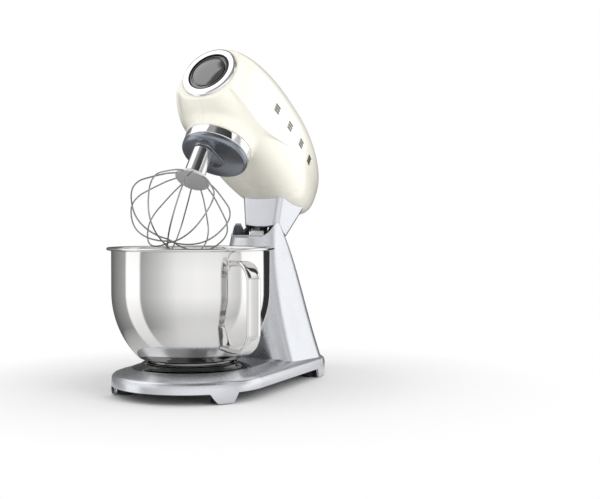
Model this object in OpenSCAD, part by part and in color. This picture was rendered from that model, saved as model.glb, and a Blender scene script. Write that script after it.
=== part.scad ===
// Tilt-head stand mixer with its bowl and balloon whisk fitted.
// Millimetres, +Z up. The head is drawn tilted back on its hinge.
// "Mixer axes" have their origin on the table under the bowl's centre, with the front at -Y.
// Head pieces are drawn in mixer axes with the head down, and raised() tips them back.

/* [Stand] */
// Radius of the base round the bowl
base_r = 110.5; // [106:0.5:114]
// Height of the base's painted edge
base_edge_h = 30; // [28:0.5:33]
// Height of the arches between the feet
arch_h = 15; // [12:0.5:17]
// Distance from the bowl's centre to the back of the base
base_back = 266; // [262:1:272]
// Half width of the column where it stands on the base
column_foot_w = 86; // [80:1:88]
// Half width of the column at its top
column_top_w = 37.5; // [37:0.1:38.5]
// Height of the column's two cheeks
column_h = 238; // [236:0.5:239]

/* [Hinge] */
// Distance from the bowl's centre back to the hinge pin
hinge_y = 215; // [213:0.5:217]
// Height of the hinge pin
hinge_z = 180; // [178:0.5:182]
// Tilt of the raised head, in degrees
tilt = 33.5; // [20:0.5:33.5]
// Radius of the hinge pin
pin_r = 6; // [5:0.1:6.5]

/* [Head] */
// Half width of the head at its widest
head_w = 71; // [69:0.5:73]
// Height of the head's top with the head down
head_top = 381; // [378:0.5:384]
// Height of the head's underside with the head down
head_under = 245; // [244:0.5:246]
// Thickness of the head's shell
shell_t = 3; // [2.5:0.1:3.5]
// Radius of the front badge ring
badge_r = 43.4; // [42:0.2:44]

/* [Bowl] */
// Outer radius of the bowl's wall
bowl_r = 110; // [108:0.5:111]
// Height of the bowl's rim over the table
rim_z = 203; // [200:0.5:204]
// Thickness of the bowl's wall
bowl_t = 1.2; // [1:0.1:1.5]

/* [Drive] */
// Distance between the bowl's centre and the whisk's own axis
orbit = 24; // [24:0.5:24]
// Teeth on the fixed ring gear
ring_teeth = 64; // [64:1:64]
// Teeth on the planet pinion
planet_teeth = 16; // [16:1:16]
// Teeth on the worm wheel
wheel_teeth = 36; // [36:1:36]
// Turn of the planet carrier at rest, in degrees
carrier_turn = -96; // [-180:1:180]

/* [Whisk] */
// Largest radius of the wire cage
cage_r = 72.2; // [68:0.2:72.6]
// Radius of the wires
wire_r = 1.05; // [0.9:0.05:1.2]
// Number of wire loops
wire_loops = 5; // [3:1:5]

/* [Hidden] */
$fn = 72;
eps = 0.01;

// The middle of the whole outline, in mixer axes
middle = [14.9, 115];

// Colours
paint = "gainsboro";
cream = "ivory";
polished = "lightgray";
steel = "silver";
rubber = [0.1, 0.1, 0.1];
copper = "peru";

// ---------------------------------------------------------------- helpers

// Puts mixer axes in the part's own frame
module placed() { translate([-middle.x, -middle.y, 0]) children(); }

// Tips the head's pieces back on the hinge
module raised() {
    placed() translate([0, hinge_y, hinge_z]) rotate([-tilt, 0, 0])
        translate([0, -hinge_y, -hinge_z]) children();
}

// Turns the planet carrier's pieces; their own +X is the whisk's side
module on_carrier() { raised() rotate([0, 0, carrier_turn]) children(); }

// Pieces on the whisk's own axis
module on_whisk() { on_carrier() translate([orbit, 0, 0]) children(); }

// A cylinder along Y, from y0 to y1
module rod_y(r, y0, y1) { translate([0, y1, 0]) rotate([90, 0, 0]) cylinder(r = r, h = y1 - y0); }

// A cylinder along X, from x0 to x1
module rod_x(r, x0, x1) { translate([x0, 0, 0]) rotate([0, 90, 0]) cylinder(r = r, h = x1 - x0); }

// A tube along Z
module tube(ro, ri, z0, z1) {
    translate([0, 0, z0]) difference() {
        cylinder(r = ro, h = z1 - z0);
        translate([0, 0, -1]) cylinder(r = ri, h = z1 - z0 + 2);
    }
}

// A box from its two corners
module box(lo, hi) { translate(lo) cube(hi - lo); }

// A slot with round ends along X
module capsule(r, x0, x1, h) {
    translate([x0, 0, 0]) cylinder(r = r, h = h);
    translate([x1, 0, 0]) cylinder(r = r, h = h);
    translate([x0, -r, 0]) cube([x1 - x0, 2 * r, h]);
}

// Copies on both sides of the mixer
module both_sides() { children(); mirror([1, 0, 0]) children(); }

// A solid through closed rings of points, all with the same number of points
module skin(rings) {
    n = len(rings[0]);
    m = len(rings);
    polyhedron(
        points = [for (r = rings) each r],
        faces = concat(
            [[for (j = [0 : n - 1]) j]],
            [for (i = [0 : m - 2], j = [0 : n - 1])
                each [[i * n + j, (i + 1) * n + (j + 1) % n, i * n + (j + 1) % n],
                      [i * n + j, (i + 1) * n + j, (i + 1) * n + (j + 1) % n]]],
            [[for (j = [n - 1 : -1 : 0]) (m - 1) * n + j]]));
}

// Points on an arc in the plane
function arc(c, r, a0, a1, n) = [for (i = [0 : n]) c + r * [cos(a0 + (a1 - a0) * i / n), sin(a0 + (a1 - a0) * i / n)]];

// A closed end that starts square and rounds off: 1 at u = 0, 0 at u = 1
function rounded_end(u, n, m) = pow(max(0, 1 - pow(min(1, max(0, u)), n)), 1 / m);

// ---------------------------------------------------------------- stand: base

rear_corner_r = 45;
rear_corner = [46, base_back - rear_corner_r];
side_lean = atan2(rear_corner.y, rear_corner.x) - acos((base_r - rear_corner_r) / norm(rear_corner));

// The base's outline drawn in by d: a round front, straight sides and two rear corners
function base_outline(d) = concat(
    arc([0, 0], base_r - d, -180 - side_lean, side_lean, 40),
    arc(rear_corner, rear_corner_r - d, side_lean, 90, 9),
    arc([-rear_corner.x, rear_corner.y], rear_corner_r - d, 90, 180 - side_lean, 9));
function base_ring(d, z) = [for (p = base_outline(d)) [p.x, p.y, z]];

seat_r = 82;
seat_top = 39;
cover_z = 13;
cover_t = 3;
plate_z = 27;
cover_holes = [for (p = [[48, -44], [84, 40], [78, 130], [55, 205]], s = [-1, 1]) [s * p.x, p.y]];
column_bolt_places = [for (p = [[66, 150], [62, 232]], s = [-1, 1]) [s * p.x, p.y]];
inlet_z = 21.5;

// Trapezoid cut-outs that leave a foot at each corner of the skirt
module arches() {
    front_half = 81;
    side_y = [-40, 206];
    rear_half = 52;
    slope = 8;
    translate([0, -60, 0]) rotate([90, 0, 0]) linear_extrude(70)
        polygon([[-front_half - slope, -2], [front_half + slope, -2], [front_half, arch_h], [-front_half, arch_h]]);
    both_sides() translate([84, 0, 0]) rotate([90, 0, 90]) linear_extrude(40)
        polygon([[side_y[0] - slope, -2], [side_y[1] + slope, -2], [side_y[1], arch_h], [side_y[0], arch_h]]);
    translate([0, 290, 0]) rotate([90, 0, 0]) linear_extrude(40)
        polygon([[-rear_half - slope, -2], [rear_half + slope, -2], [rear_half, arch_h], [-rear_half, arch_h]]);
}

module base_casting() color(paint) placed() difference() {
    skin([base_ring(1.4, 1.5), base_ring(0, 10), base_ring(0.4, 24), base_ring(1.4, 28), base_ring(3.6, base_edge_h),
          base_ring(24, 36.4), base_ring(28.5, 37.6)]);
    difference() {
        union() {
            skin([base_ring(4, 0), base_ring(4, 22), base_ring(7, 25.6), base_ring(11, plate_z)]);
            translate([0, 0, 20]) cylinder(r = 70, h = 12);
        }
        for (p = cover_holes) translate([p.x, p.y, cover_z + cover_t]) cylinder(r = 5, h = 30);
    }
    arches();
    // seat of the chrome dish
    translate([0, 0, seat_top - 4]) cylinder(r = seat_r + 0.1, h = 10);
    // footing of the column
    translate([0, 0, base_edge_h]) linear_extrude(20) polygon([for (p = column_ring(0)) [p.x, p.y]]);
    for (p = cover_holes) translate([p.x, p.y, cover_z]) cylinder(r = 1.6, h = 14);
    for (p = column_bolt_places) translate([p.x, p.y, 10]) cylinder(r = 3.2, h = 30);
    // cord inlet at the back
    translate([0, 0, inlet_z]) rod_y(inlet_r + 0.02, base_back - 20, base_back + 5);
}

module bottom_cover() color(rubber) placed() difference() {
    translate([0, 0, cover_z]) linear_extrude(cover_t) polygon(base_outline(4.3));
    for (p = cover_holes) translate([p.x, p.y, cover_z - 1]) {
        cylinder(r = 1.8, h = 10);
        cylinder(r = 3.6, h = 2.2);
    }
    // cooling slots
    for (i = [-3 : 3]) translate([i * 9, 30, cover_z - 1]) rotate([0, 0, 90]) capsule(1.6, 0, 40, 10);
}

module cover_screws() color(steel) placed() for (p = cover_holes) translate([p.x, p.y, 0]) {
    translate([0, 0, cover_z + 0.1]) cylinder(r = 3.3, h = 1.1);
    translate([0, 0, cover_z + 0.1]) cylinder(r = 1.55, h = 10);
}

foot_places = [[78, -46.5], [-78, -46.5], [68, 222], [-68, 222]];
module rubber_feet() color(rubber) placed() for (p = foot_places) translate([p.x, p.y, 0])
    rotate_extrude() polygon([[0, 0], [11, 0], [12.5, 1.5], [12.5, 8], [14, cover_z], [0, cover_z]]);

// Chrome dish with the three entries of the bowl's bayonet
foot_r = 58.6;
lug_w = 12;
module bowl_seat() color(polished) placed() difference() {
    rotate_extrude() polygon(concat(
        [[0, seat_top - 4], [seat_r, seat_top - 4]],
        [[seat_r, seat_top - 1.4], [seat_r - 1, seat_top - 0.4]],
        [[seat_r - 6, seat_top + 0.6], [68, seat_top + 5.5], [66, seat_top + 6.4], [61.5, seat_top + 6.4],
         [60.2, seat_top + 5.4], [60.2, seat_top - 1], [0, seat_top - 1]]));
    for (a = [0 : 120 : 240]) rotate([0, 0, a + 30])
        box([foot_r, -lug_w / 2 - 2, seat_top - 1], [63.6, lug_w / 2 + 2, seat_top + 10]);
    for (p = seat_screw_places) translate([p.x, p.y, seat_top - 5]) cylinder(r = 2.2, h = 6);
}

seat_screw_places = [for (a = [0 : 120 : 240]) 40 * [cos(a), sin(a)]];
module seat_screws() color(steel) placed() for (p = seat_screw_places) translate([p.x, p.y, 0]) {
    translate([0, 0, seat_top - 1]) cylinder(r = 3.6, h = 0.9);
    translate([0, 0, seat_top - 3.9]) cylinder(r = 2, h = 3.2);
}

module column_bolts() color(steel) placed() for (p = column_bolt_places) translate([p.x, p.y, plate_z]) {
    translate([0, 0, -5]) cylinder(r = 5.5, h = 5, $fn = 6);
    translate([0, 0, -1]) cylinder(r = 3, h = 24);
}

// Rubber bush where the mains cord comes in
inlet_r = 5;
module cord_inlet() color(rubber) placed() translate([0, 0, inlet_z]) difference() {
    union() {
        rod_y(inlet_r, base_back - 8, base_back + 0.2);
        rod_y(6.4, base_back + 0.2, base_back + 3);
        rod_y(4.4, base_back + 3, base_back + 10);
    }
    rod_y(3.2, base_back - 10, base_back + 14);
}

// ---------------------------------------------------------------- stand: column

column_z0 = base_edge_h;
// Share of the column's height, eased so that the rings close up towards the top
function column_z(s) = column_z0 + (column_h - column_z0) * s;
function column_half_w(s) = column_top_w + (column_foot_w - column_top_w) * pow(1 - s, 1.6);
function column_front(s) = 143 - 25 * pow(1 - s, 0.75);
function column_rear(s) = 262 - 72 * pow(s, 4);
function column_front_r(s) = min(column_half_w(s) - 0.5, 30 + 8 * s);
function column_rear_r(s) = min(column_half_w(s) - 2.5, 45 - 36.5 * pow(s, 4));

// One ring of the column at share s, drawn in by d
function column_points(s, d) = let (
        w = column_half_w(s) - d, yf = column_front(s) + d, yr = column_rear(s) - d,
        rf = column_front_r(s) - d, rr = max(4, column_rear_r(s) - d))
    concat(
        arc([w - rr, yr - rr], rr, 0, 90, 9), arc([rr - w, yr - rr], rr, 90, 180, 9),
        arc([rf - w, yf + rf], rf, 180, 270, 11), arc([w - rf, yf + rf], rf, 270, 360, 11));
function column_ring(s, d = 0) = [for (p = column_points(s, d)) [p.x, p.y, column_z(s)]];

pocket_floor = 203;
pocket_front = 153;
// Height of the cup's rim over its depth, from the front lip to the side walls
rim_line = [[143, 216], [148, 217.5], [153, 220], [158, 223.6], [163, 228], [168, 233], [174, 238]];
knuckle_r = 33.3;
slot_in = 11.5;
slot_out = 20.5;
column_wall = 9;

// The space the collar drops into: round at the front, open at the back over a round knuckle
pocket_r = 34.9;
pocket_y = 174;
module collar_pocket() difference() {
    translate([0, 0, pocket_floor]) linear_extrude(60) let (a = asin((pocket_y - pocket_front) / pocket_r))
        polygon(concat(
            [[pocket_r, 300]], arc([0, pocket_y], pocket_r, 0, -a, 8),
            arc([0, pocket_y], pocket_r, a - 180, -180, 8), [[-pocket_r, 300]]));
    translate([0, hinge_y, hinge_z]) rod_x(knuckle_r, -50, 50);
}

// Slots in the knuckle for the two arms of the head frame
module arm_slots() both_sides() translate([slot_in, 0, 0]) rotate([90, 0, 90]) linear_extrude(slot_out - slot_in)
    translate([hinge_y, hinge_z]) polygon([
        [-31, -12], [12.6, -12.6], [12.6, 5], [23, 65.3], [-55, 65.3], [-44, 41], [-31, 22]]);

module column() color(paint) placed() difference() {
    union() {
        difference() {
            skin([for (s = [0, 0.03, 0.08, 0.15, 0.24, 0.34, 0.45, 0.56, 0.66, 0.75, 0.83, 0.9, 0.95, 1])
                column_ring(s)]);
            // hollow inside
            skin([for (s = [-0.02, 0.1, 0.25, 0.4, 0.54])
                [for (p = column_points(max(0, s), column_wall)) [p.x, p.y, column_z(s)]]]);
        }
        // bosses for the bolts from below
        for (p = column_bolt_places) translate([p.x, p.y, column_z0]) cylinder(r = 8, h = 26);
    }
    // rim sweeping down to the front lip
    rotate([90, 0, 90]) translate([0, 0, -60]) linear_extrude(120)
        polygon(concat([[171, 260], [100, 260], [100, rim_line[0].y]], rim_line));
    collar_pocket();
    arm_slots();
    // blind bore of the hinge pin and bore of the lock bolt
    translate([0, hinge_y, hinge_z]) rod_x(pin_r + 0.03, -34, 34);
    lock_place() rod_x(bolt_r + 0.05, -15, 15);
    // bore of the release button and seat of its bezel
    button_place() rod_y(button_r + 0.4, -22, 20);
    button_place() rod_y(button_r + 3.02, -3, 20);
    for (p = column_bolt_places) translate([p.x, p.y, 20]) cylinder(r = 3.02, h = 32);
}

module hinge_pin() color(steel) placed() translate([0, hinge_y, hinge_z]) rod_x(pin_r, -33.5, 33.5);

// The release button sits square to the sloping back
button_z = 140;
button_y = 255.8;
button_lean = 12;
button_r = 9;
module button_place() translate([0, button_y, button_z]) rotate([button_lean, 0, 0]) children();

module button_bezel() color(polished) placed() button_place() difference() {
    rod_y(button_r + 3, -3, 1.8);
    rod_y(button_r + 0.4, -5, 5);
}

module release_button() color(rubber) placed() button_place() difference() {
    union() {
        rod_y(button_r, -16, 3.4);
        rod_y(button_r - 1, -16, 4.4);
    }
    // socket of its spring
    rod_y(5, -18, -5);
}

// Steel catch that the neck closes over
module catch_plate() color(steel) placed() rotate([90, 0, 90]) translate([0, 0, -11]) linear_extrude(22)
    polygon([[170, pocket_floor], [174.4, pocket_floor], [181.6, 224.5], [179.4, 226.2], [176, 222]]);

// Black cover over the lock's spring, beside the left arm
module catch_housing() color(rubber) placed() translate([-26, 0, 0]) rotate([90, 0, 90]) linear_extrude(4.5) {
    translate([177, pocket_floor + 7.5]) circle(r = 7.5);
    translate([170, pocket_floor]) square([13, 9]);
}

// Bolt that locks the left arm of the head frame, drawn back just clear of it
bolt_r = 3;
lock_angle = 150;
lock_reach = 24;
module lock_place() translate([0, hinge_y + lock_reach * cos(lock_angle), hinge_z + lock_reach * sin(lock_angle)])
    children();
module lock_bolt() color(steel) placed() lock_place() rod_x(bolt_r, 0.5 - slot_in, 6);

// ---------------------------------------------------------------- head: shells

widest_y = 83;
nose_len = 184;
tail_len = 187;
crown_y = 65;
tail_rise = 20;
front_y = -74.5;
tail_y = widest_y + tail_len;
head_mid = (head_top + head_under) / 2;

// Half width of the head at y, drawn in by d
function head_half_w(y, d) = (head_w - d) * (y < widest_y
    ? rounded_end((widest_y - y) / (nose_len - d), 2.5, 2.6)
    : rounded_end((y - widest_y) / (tail_len - d), 1.7, 1.7));
// Share of the full height at y
function head_swell(y, d) = y < crown_y
    ? rounded_end((crown_y - y) / (crown_y - widest_y + nose_len - d), 2.5, 2.6)
    : rounded_end((y - crown_y) / (tail_y - crown_y - d), 2.8, 1.7);
function head_axis_z(y) = head_mid + tail_rise * pow(max(0, (y - widest_y) / tail_len), 2);

// Half of one section: from the crown round the right side to the keel
function head_section(y, d, n) = let (
        w = head_half_w(y, d), k = head_swell(y, d), zc = head_axis_z(y),
        up = (head_top - d - zc) * k, down = (zc - head_under - d) * k)
    [for (i = [0 : n]) let (
            a = 90 - 180 * i / n, e = a >= 0 ? 2.8 : 3,
            r = pow(pow(abs(cos(a)), e) + pow(abs(sin(a)), e), -1 / e))
        [w * r * cos(a) * (i % n == 0 ? 0 : 1), y, zc + (a >= 0 ? up : down) * r * sin(a)]];

// Stations along the head, closer together near both ends
function head_stations(y0, y1, m) = [for (i = [0 : m]) (y0 + y1) / 2 - (y1 - y0) / 2 * cos(180 * i / m)];

module half_head(d, m, n, over = 0)
    skin([for (y = head_stations(front_y + d, tail_y - d - 0.3, m)) let (s = head_section(y, d, n))
        over > 0 ? concat([[-over, y, s[0].z]], s, [[-over, y, s[n].z]]) : s]);

// Lower half of the head between two stations, as a cutter for the collar's edge
module head_underside(d) {
    half = 12;
    skin([for (y = [120 : 12 : 228]) let (s = head_section(y, d, 2 * half))
        concat([for (i = [half : 2 * half]) s[i]], [for (i = [2 * half - 1 : -1 : half]) [-s[i].x, s[i].y, s[i].z]])]);
}

hub_r = 49.4;
hub_top = 242.8;
slot_len = 66;
plate_over = 5;
plate_w = 9;
// The speed slot lies on the crown, which slopes slightly to the rear
module crown_place() translate([0, 66, head_top]) rotate([-1.5, 0, 0]) children();
vent_places = [for (i = [0 : 5]) [252 - 5.2 * i, 322 - 9.5 * i]];

module shell_half() difference() {
    union() {
        half_head(0, 30, 20);
        intersection() {
            translate([0, 0, hub_top + 0.2]) cylinder(r1 = 51.5, r2 = 58, h = 20);
            box([0, -80, 0], [80, 80, 300]);
        }
    }
    half_head(shell_t, 16, 12, 1);
    // hub opening, badge opening, neck opening
    cylinder(r = 45.6, h = 265);
    translate([0, 0, badge_z]) rod_y(40.5, front_y - 5, front_y + 12);
    box([-1, 150, 200], [26, 199, 275]);
    // slot of the speed lever and seat of its plate
    crown_place() box([-1, 0, -12], [2.2, slot_len, 12]);
    crown_place() box([-1, -plate_over, -1.2], [plate_w, slot_len + plate_over, 12]);
    // louvres under the tail
    for (p = vent_places) translate([-1, p.x, p.y]) rotate([-35, 0, 0]) box([0, -12, -1.3], [33, 14, 1.3]);
}

badge_z = 314.7;
module head_shell_right() color(cream) raised() difference() {
    shell_half();
    for (p = trim_sets) trim_places(p) box([-1.6, -trim_half - 0.05, -1.25], [9, trim_half + 0.05, 1.25]);
}
module head_shell_left() color(cream) raised() mirror([1, 0, 0]) shell_half();

// Rings of the neck collar: narrower at the bottom, square at the front and rounder at the back
function collar_points(z, d) = let (
        k = (z - 213) / 37, w = 30.5 + 5.2 * k - d, yf = 161.5 - 19.5 * k + d, yr = 203 + 6.5 * k - d,
        rf = 9 - d, rr = 12 - d)
    concat(
        arc([w - rr, yr - rr], rr, 0, 90, 8), arc([rr - w, yr - rr], rr, 90, 180, 8),
        arc([rf - w, yf + rf], rf, 180, 270, 5), arc([w - rf, yf + rf], rf, 270, 360, 5));
function collar_ring(z, d) = [for (p = collar_points(z, d)) [p.x, p.y, z]];

collar_t = 2.6;
module neck_collar() color(paint) raised() difference() {
    skin([collar_ring(206, 0), collar_ring(272, 0)]);
    skin([collar_ring(204, collar_t), collar_ring(280, collar_t)]);
    // lower edge, lowest at its middle
    rotate([90, 0, 0]) translate([0, 0, -250]) linear_extrude(140)
        polygon(concat([[60, 190], [-60, 190]], [for (x = [-60 : 6 : 60]) [x, 210 + x * x / 300]]));
    // slots for the frame's arms in the rear wall
    both_sides() box([arm_in - 0.5, 194, 200], [arm_out + 0.5, 216, 236]);
    // upper edge follows the head
    head_underside(-0.3);
    // clearance over the column's knuckle
    translate([0, hinge_y, hinge_z]) rod_x(knuckle_r + 1.5, -50, 50);
}

// ---------------------------------------------------------------- head: frame

frame_z = 250;
bed_z = 256;
bed_top = 260;
shaft_r = 8;
motor_x = 29;
motor_z = 288;
bridge_z = 294;
bridge_t = 5;
motor_stands = [26, 132];

// Die-cast frame: hub cup, bed, two hinge arms, bridge over the worm wheel and motor stands
module head_frame() color(steel) raised() difference() {
    union() {
        tube(45.4, 42, 231, frame_z + 1);
        translate([0, 0, frame_z]) cylinder(r = 45.4, h = bed_top - frame_z);
        translate([0, 0, frame_z - 6]) cylinder(r = 17, h = 20);
        box([-22, 0, bed_z], [22, 196, bed_top]);
        box([20, 20, bed_z], [37, 140, bed_top]);
        // ribs along the bed, the right one behind the motor
        box([-20, 40, bed_top - 1], [-18, 190, bed_top + 6]);
        box([18, 104, bed_top - 1], [20, 190, bed_top + 6]);
        // arms to the hinge
        both_sides() arm();
        difference() {
            both_sides() arm_root();
            box([-9, 150, bed_top - 20], [9, 200, bed_z]);
        }
        for (y = motor_stands) box([motor_x - 9, y, bed_z + 1], [motor_x + 8, y + 8, motor_z + 10]);
        for (y = [56, 80]) box([motor_x - 9, y, bed_z + 1], [motor_x + 8, y + 6, motor_z - 25.5]);
        // bridge
        box([-40, -8, frame_z + 1], [-32, 8, bridge_z + bridge_t]);
        box([-40, -8, bridge_z], [0, 8, bridge_z + bridge_t]);
        translate([0, 0, bridge_z]) cylinder(r = 14, h = bridge_t);
    }
    // seats of the shaft's bearings
    translate([0, 0, frame_z - 7]) cylinder(r = 13, h = 11);
    translate([0, 0, frame_z]) cylinder(r = shaft_r + 1, h = 30);
    translate([0, 0, bridge_z - 1]) cylinder(r = 11, h = 8);
    // seats of the motor's bearings
    translate([motor_x, 0, motor_z]) rod_y(7, 20, 150);
    // bore for the hinge bushes
    translate([0, hinge_y, hinge_z]) rod_x(pin_r + 1.5, -25, 25);
    // holes for the lock bolt in the left arm, head down and head up
    for (a = [0, tilt]) translate([0, hinge_y, hinge_z]) rotate([a, 0, 0])
        translate([0, lock_reach * cos(lock_angle), lock_reach * sin(lock_angle)]) rod_x(bolt_r + 0.3, -25, 0);
}

// One hinge arm: a boss on the pin, a web up to the bed and a quadrant for the lock
arm_in = 12;
arm_out = 20;
module arm() translate([arm_in, 0, 0]) rotate([90, 0, 90]) linear_extrude(arm_out - arm_in)
    translate([hinge_y, hinge_z]) {
        circle(r = 10.5);
        polygon(concat([[-9.4, -4.6], [10.1, 2.8], [-25, 76], [-55, 76], [-43, 52], [-32.5, 34]],
            arc([0, 0], 30, 134, 196, 8)));
    }

// Stiffening block between the arm and the bed
module arm_root() box([8, 158, bed_z - 12], [arm_in + 0.1, 190, bed_z + 1]);

module hinge_bushes() color("peru") raised() translate([0, hinge_y, hinge_z]) both_sides() difference() {
    rod_x(pin_r + 1.5, arm_in, arm_out);
    rod_x(pin_r + 0.05, arm_in - 1, arm_out + 1);
}

module hub_ring() color(polished) raised() rotate_extrude() polygon([
    [45.6, 228.8], [48.6, 228.8], [hub_r, 229.6], [hub_r, 241.6], [hub_r - 0.8, hub_top], [45.6, hub_top]]);

// A ball bearing drawn as one ring with its seal grooves
module bearing(ri, ro, h) rotate_extrude() polygon([
    [ri, 0], [ri + 1.2, 0], [ri + 1.2, 0.5], [ro - 1.2, 0.5], [ro - 1.2, 0], [ro, 0],
    [ro, h], [ro - 1.2, h], [ro - 1.2, h - 0.5], [ri + 1.2, h - 0.5], [ri + 1.2, h], [ri, h]]);

module carrier_bearing() color(steel) raised() translate([0, 0, frame_z - 6]) bearing(shaft_r + 0.05, 13, 10);
module top_bearing() color(steel) raised() translate([0, 0, bridge_z]) bearing(6.05, 11, bridge_t);

stator_y = [50, 92];
module motor_stator() color(steel) raised() translate([motor_x, 0, motor_z]) difference() {
    union() {
        intersection() {
            rod_y(27, stator_y[0], stator_y[1]);
            box([-23, stator_y[0] - 1, -25.5], [25, stator_y[1] + 1, 25.5]);
        }
        // field coils
        intersection() {
            rod_y(23, stator_y[0] - 8, stator_y[1] + 8);
            union() for (z = [-30, 9]) box([-30, stator_y[0] - 9, z], [30, stator_y[1] + 9, z + 21]);
        }
    }
    rod_y(15.8, 30, 120);
    for (x = [-20.4, 20.4]) translate([x, 0, 0]) rod_y(1.85, 30, 120);
}

// Two long bolts through the stator's plates
module stator_bolts() color(steel) raised() for (x = [-20.4, 20.4]) translate([motor_x + x, 0, motor_z]) {
    rod_y(1.8, stator_y[0] - 1, stator_y[1] + 5);
    rod_y(3.2, stator_y[0] - 3, stator_y[0]);
}

module motor_bearings() color(steel) raised() for (y = motor_stands) translate([motor_x, y + 8, motor_z])
    rotate([90, 0, 0]) bearing(4.05, 7, 8);

module circuit_board() color("darkgreen") raised() {
    box([-17, 64, bed_top], [-15.4, 140, 305]);
    box([-15.4, 72, 264], [-8, 90, 290]);
    for (i = [0 : 2]) translate([-15.4, 104 + 12 * i, 292]) rod_x(5, 0, 12);
    box([-30, 84, 268], [-17, 128, 298]);
}

module badge_ring() color(polished) raised() translate([0, 0, badge_z]) rotate([90, 0, 0]) rotate_extrude() polygon([
    [31.6, -front_y], [badge_r, -front_y], [badge_r, 1.2 - front_y], [badge_r - 1.4, 3.4 - front_y],
    [36, 4.6 - front_y], [31.6, 4.2 - front_y]]);

// Sleeve that holds an attachment's shank, behind the badge
outlet_r = 9.5;
outlet_depth = 30;
module outlet_socket() color(steel) raised() translate([0, 0, badge_z]) difference() {
    union() {
        rod_y(40.4, front_y, front_y + 4);
        rod_y(14, front_y + 3, front_y + outlet_depth + 9);
    }
    rod_y(outlet_r, front_y - 1, front_y + outlet_depth);
    rod_y(5.05, front_y, 0);
    // key slots for the attachments
    for (a = [0 : 90 : 270]) rotate([0, a, 0]) box([25, front_y - 1, -4], [29, front_y + 5, 4]);
}

module speed_plate() color(steel) raised() crown_place() difference() {
    box([-plate_w + 0.05, 0.05 - plate_over, -1.2], [plate_w - 0.05, slot_len + plate_over - 0.05, 0.8]);
    box([-2.2, 0, -5], [2.2, slot_len, 5]);
}

// Four sets of three plain bars let into the right side, each set as [y, out, turn]
trim_sets = [[14, 68.6, -4], [55, 70.6, -1], [97, 70.5, 4], [138, 65.7, 10]];
trim_z = 316.8;
trim_half = 5.8;
trim_pitch = 4.6;
module trim_places(p) translate([p.y, p.x, trim_z]) rotate([0, 0, p.z])
    for (i = [-1 : 1]) translate([0, 0, trim_pitch * i]) children();
module side_trim() color(polished) raised() for (p = trim_sets)
    trim_places(p) box([-1.6, -trim_half, -1.2], [1, trim_half, 1.2]);

lever_travel = 54;
module speed_lever() color(polished) raised() crown_place() translate([0, 6, 0]) difference() {
    union() {
        box([-1.9, -4, -10], [1.9, 4, 3]);
        box([-8, -6.5, 1.2], [8, 6.5, 8.5]);
    }
    // finger grips front and back
    for (y = [-15.5, 15.5]) translate([0, y, 9]) rod_x(11.5, -20, 20);
}

module outlet_cap() color(polished) raised() translate([0, 0, badge_z]) {
    rotate([90, 0, 0]) rotate_extrude() polygon(concat(
        [[0, 0.2 - front_y], [31.2, 0.2 - front_y], [31.2, 3.4 - front_y], [27.6, 4.2 - front_y], [27.6, 2.4 - front_y],
         [25.4, 2.4 - front_y], [25.4, 4.4 - front_y]],
        [for (a = [16 : -4 : 0]) [88 * sin(a), 4.4 - front_y - 88 * cos(16.8) + 88 * cos(a)]]));
    // four snap tabs in the key slots
    for (a = [0 : 90 : 270]) rotate([0, a, 0]) box([25.6, front_y - 0.4, -3.4], [28.4, front_y + 3.5, 3.4]);
}

// ---------------------------------------------------------------- drive

// Involute gear outline with a tooth on +X
function inv_angle(rb, r) = let (q = sqrt(max(0, pow(r / rb, 2) - 1))) q * 180 / PI - atan(q);
function tooth_half(m, n, r, slack) = let (rp = m * n / 2, rb = rp * cos(20))
    90 / n + inv_angle(rb, rp) - inv_angle(rb, max(r, rb)) - slack / rp * 180 / PI;
function gear_outline(m, n, add, ded, slack) = let (
        rp = m * n / 2, ri = rp - ded, ro = rp + add,
        radii = [ri, max(ri + 0.2, rp * cos(20)), rp, ro])
    [for (i = [0 : n - 1]) each concat(
        [for (r = radii) let (a = 360 * i / n - tooth_half(m, n, r, slack)) r * [cos(a), sin(a)]],
        [for (j = [3 : -1 : 0]) let (r = radii[j], a = 360 * i / n + tooth_half(m, n, r, slack)) r * [cos(a), sin(a)]])];

gear_z = 232;
gear_h = 8;
module ring_gear() color(steel) raised() rotate([0, 0, carrier_turn]) difference() {
    translate([0, 0, gear_z]) cylinder(r = 42, h = gear_h);
    translate([0, 0, gear_z - 1]) linear_extrude(gear_h + 2) polygon(gear_outline(1, ring_teeth, 1.25, 0.9, -0.08));
}

module planet_pinion() color(steel) on_whisk() difference() {
    translate([0, 0, gear_z + 0.2]) linear_extrude(gear_h - 0.4) polygon(gear_outline(1, planet_teeth, 0.9, 1.25, 0.08));
    translate([0, 0, gear_z - 1]) cylinder(r = 4.5, h = 20);
}

// Cast disc and shaft that carry the whisk round
module planet_carrier() color(steel) on_carrier() difference() {
    union() {
        translate([0, 0, cap_seat_z]) cylinder(r = 40, h = 229.4 - cap_seat_z);
        translate([0, 0, 229]) cylinder(r = shaft_r, h = bridge_z - 1 - 229);
        translate([0, 0, bridge_z - 2]) cylinder(r = 6, h = 14);
        translate([orbit, 0, 216]) cylinder(r = 10.5, h = 8);
    }
    translate([orbit, 0, 210]) cylinder(r = 6.55, h = 30);
    // pockets that lighten the disc
    for (a = [60 : 60 : 300]) rotate([0, 0, a]) translate([26, 0, 223]) cylinder(r = 8.5, h = 8);
}

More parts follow.
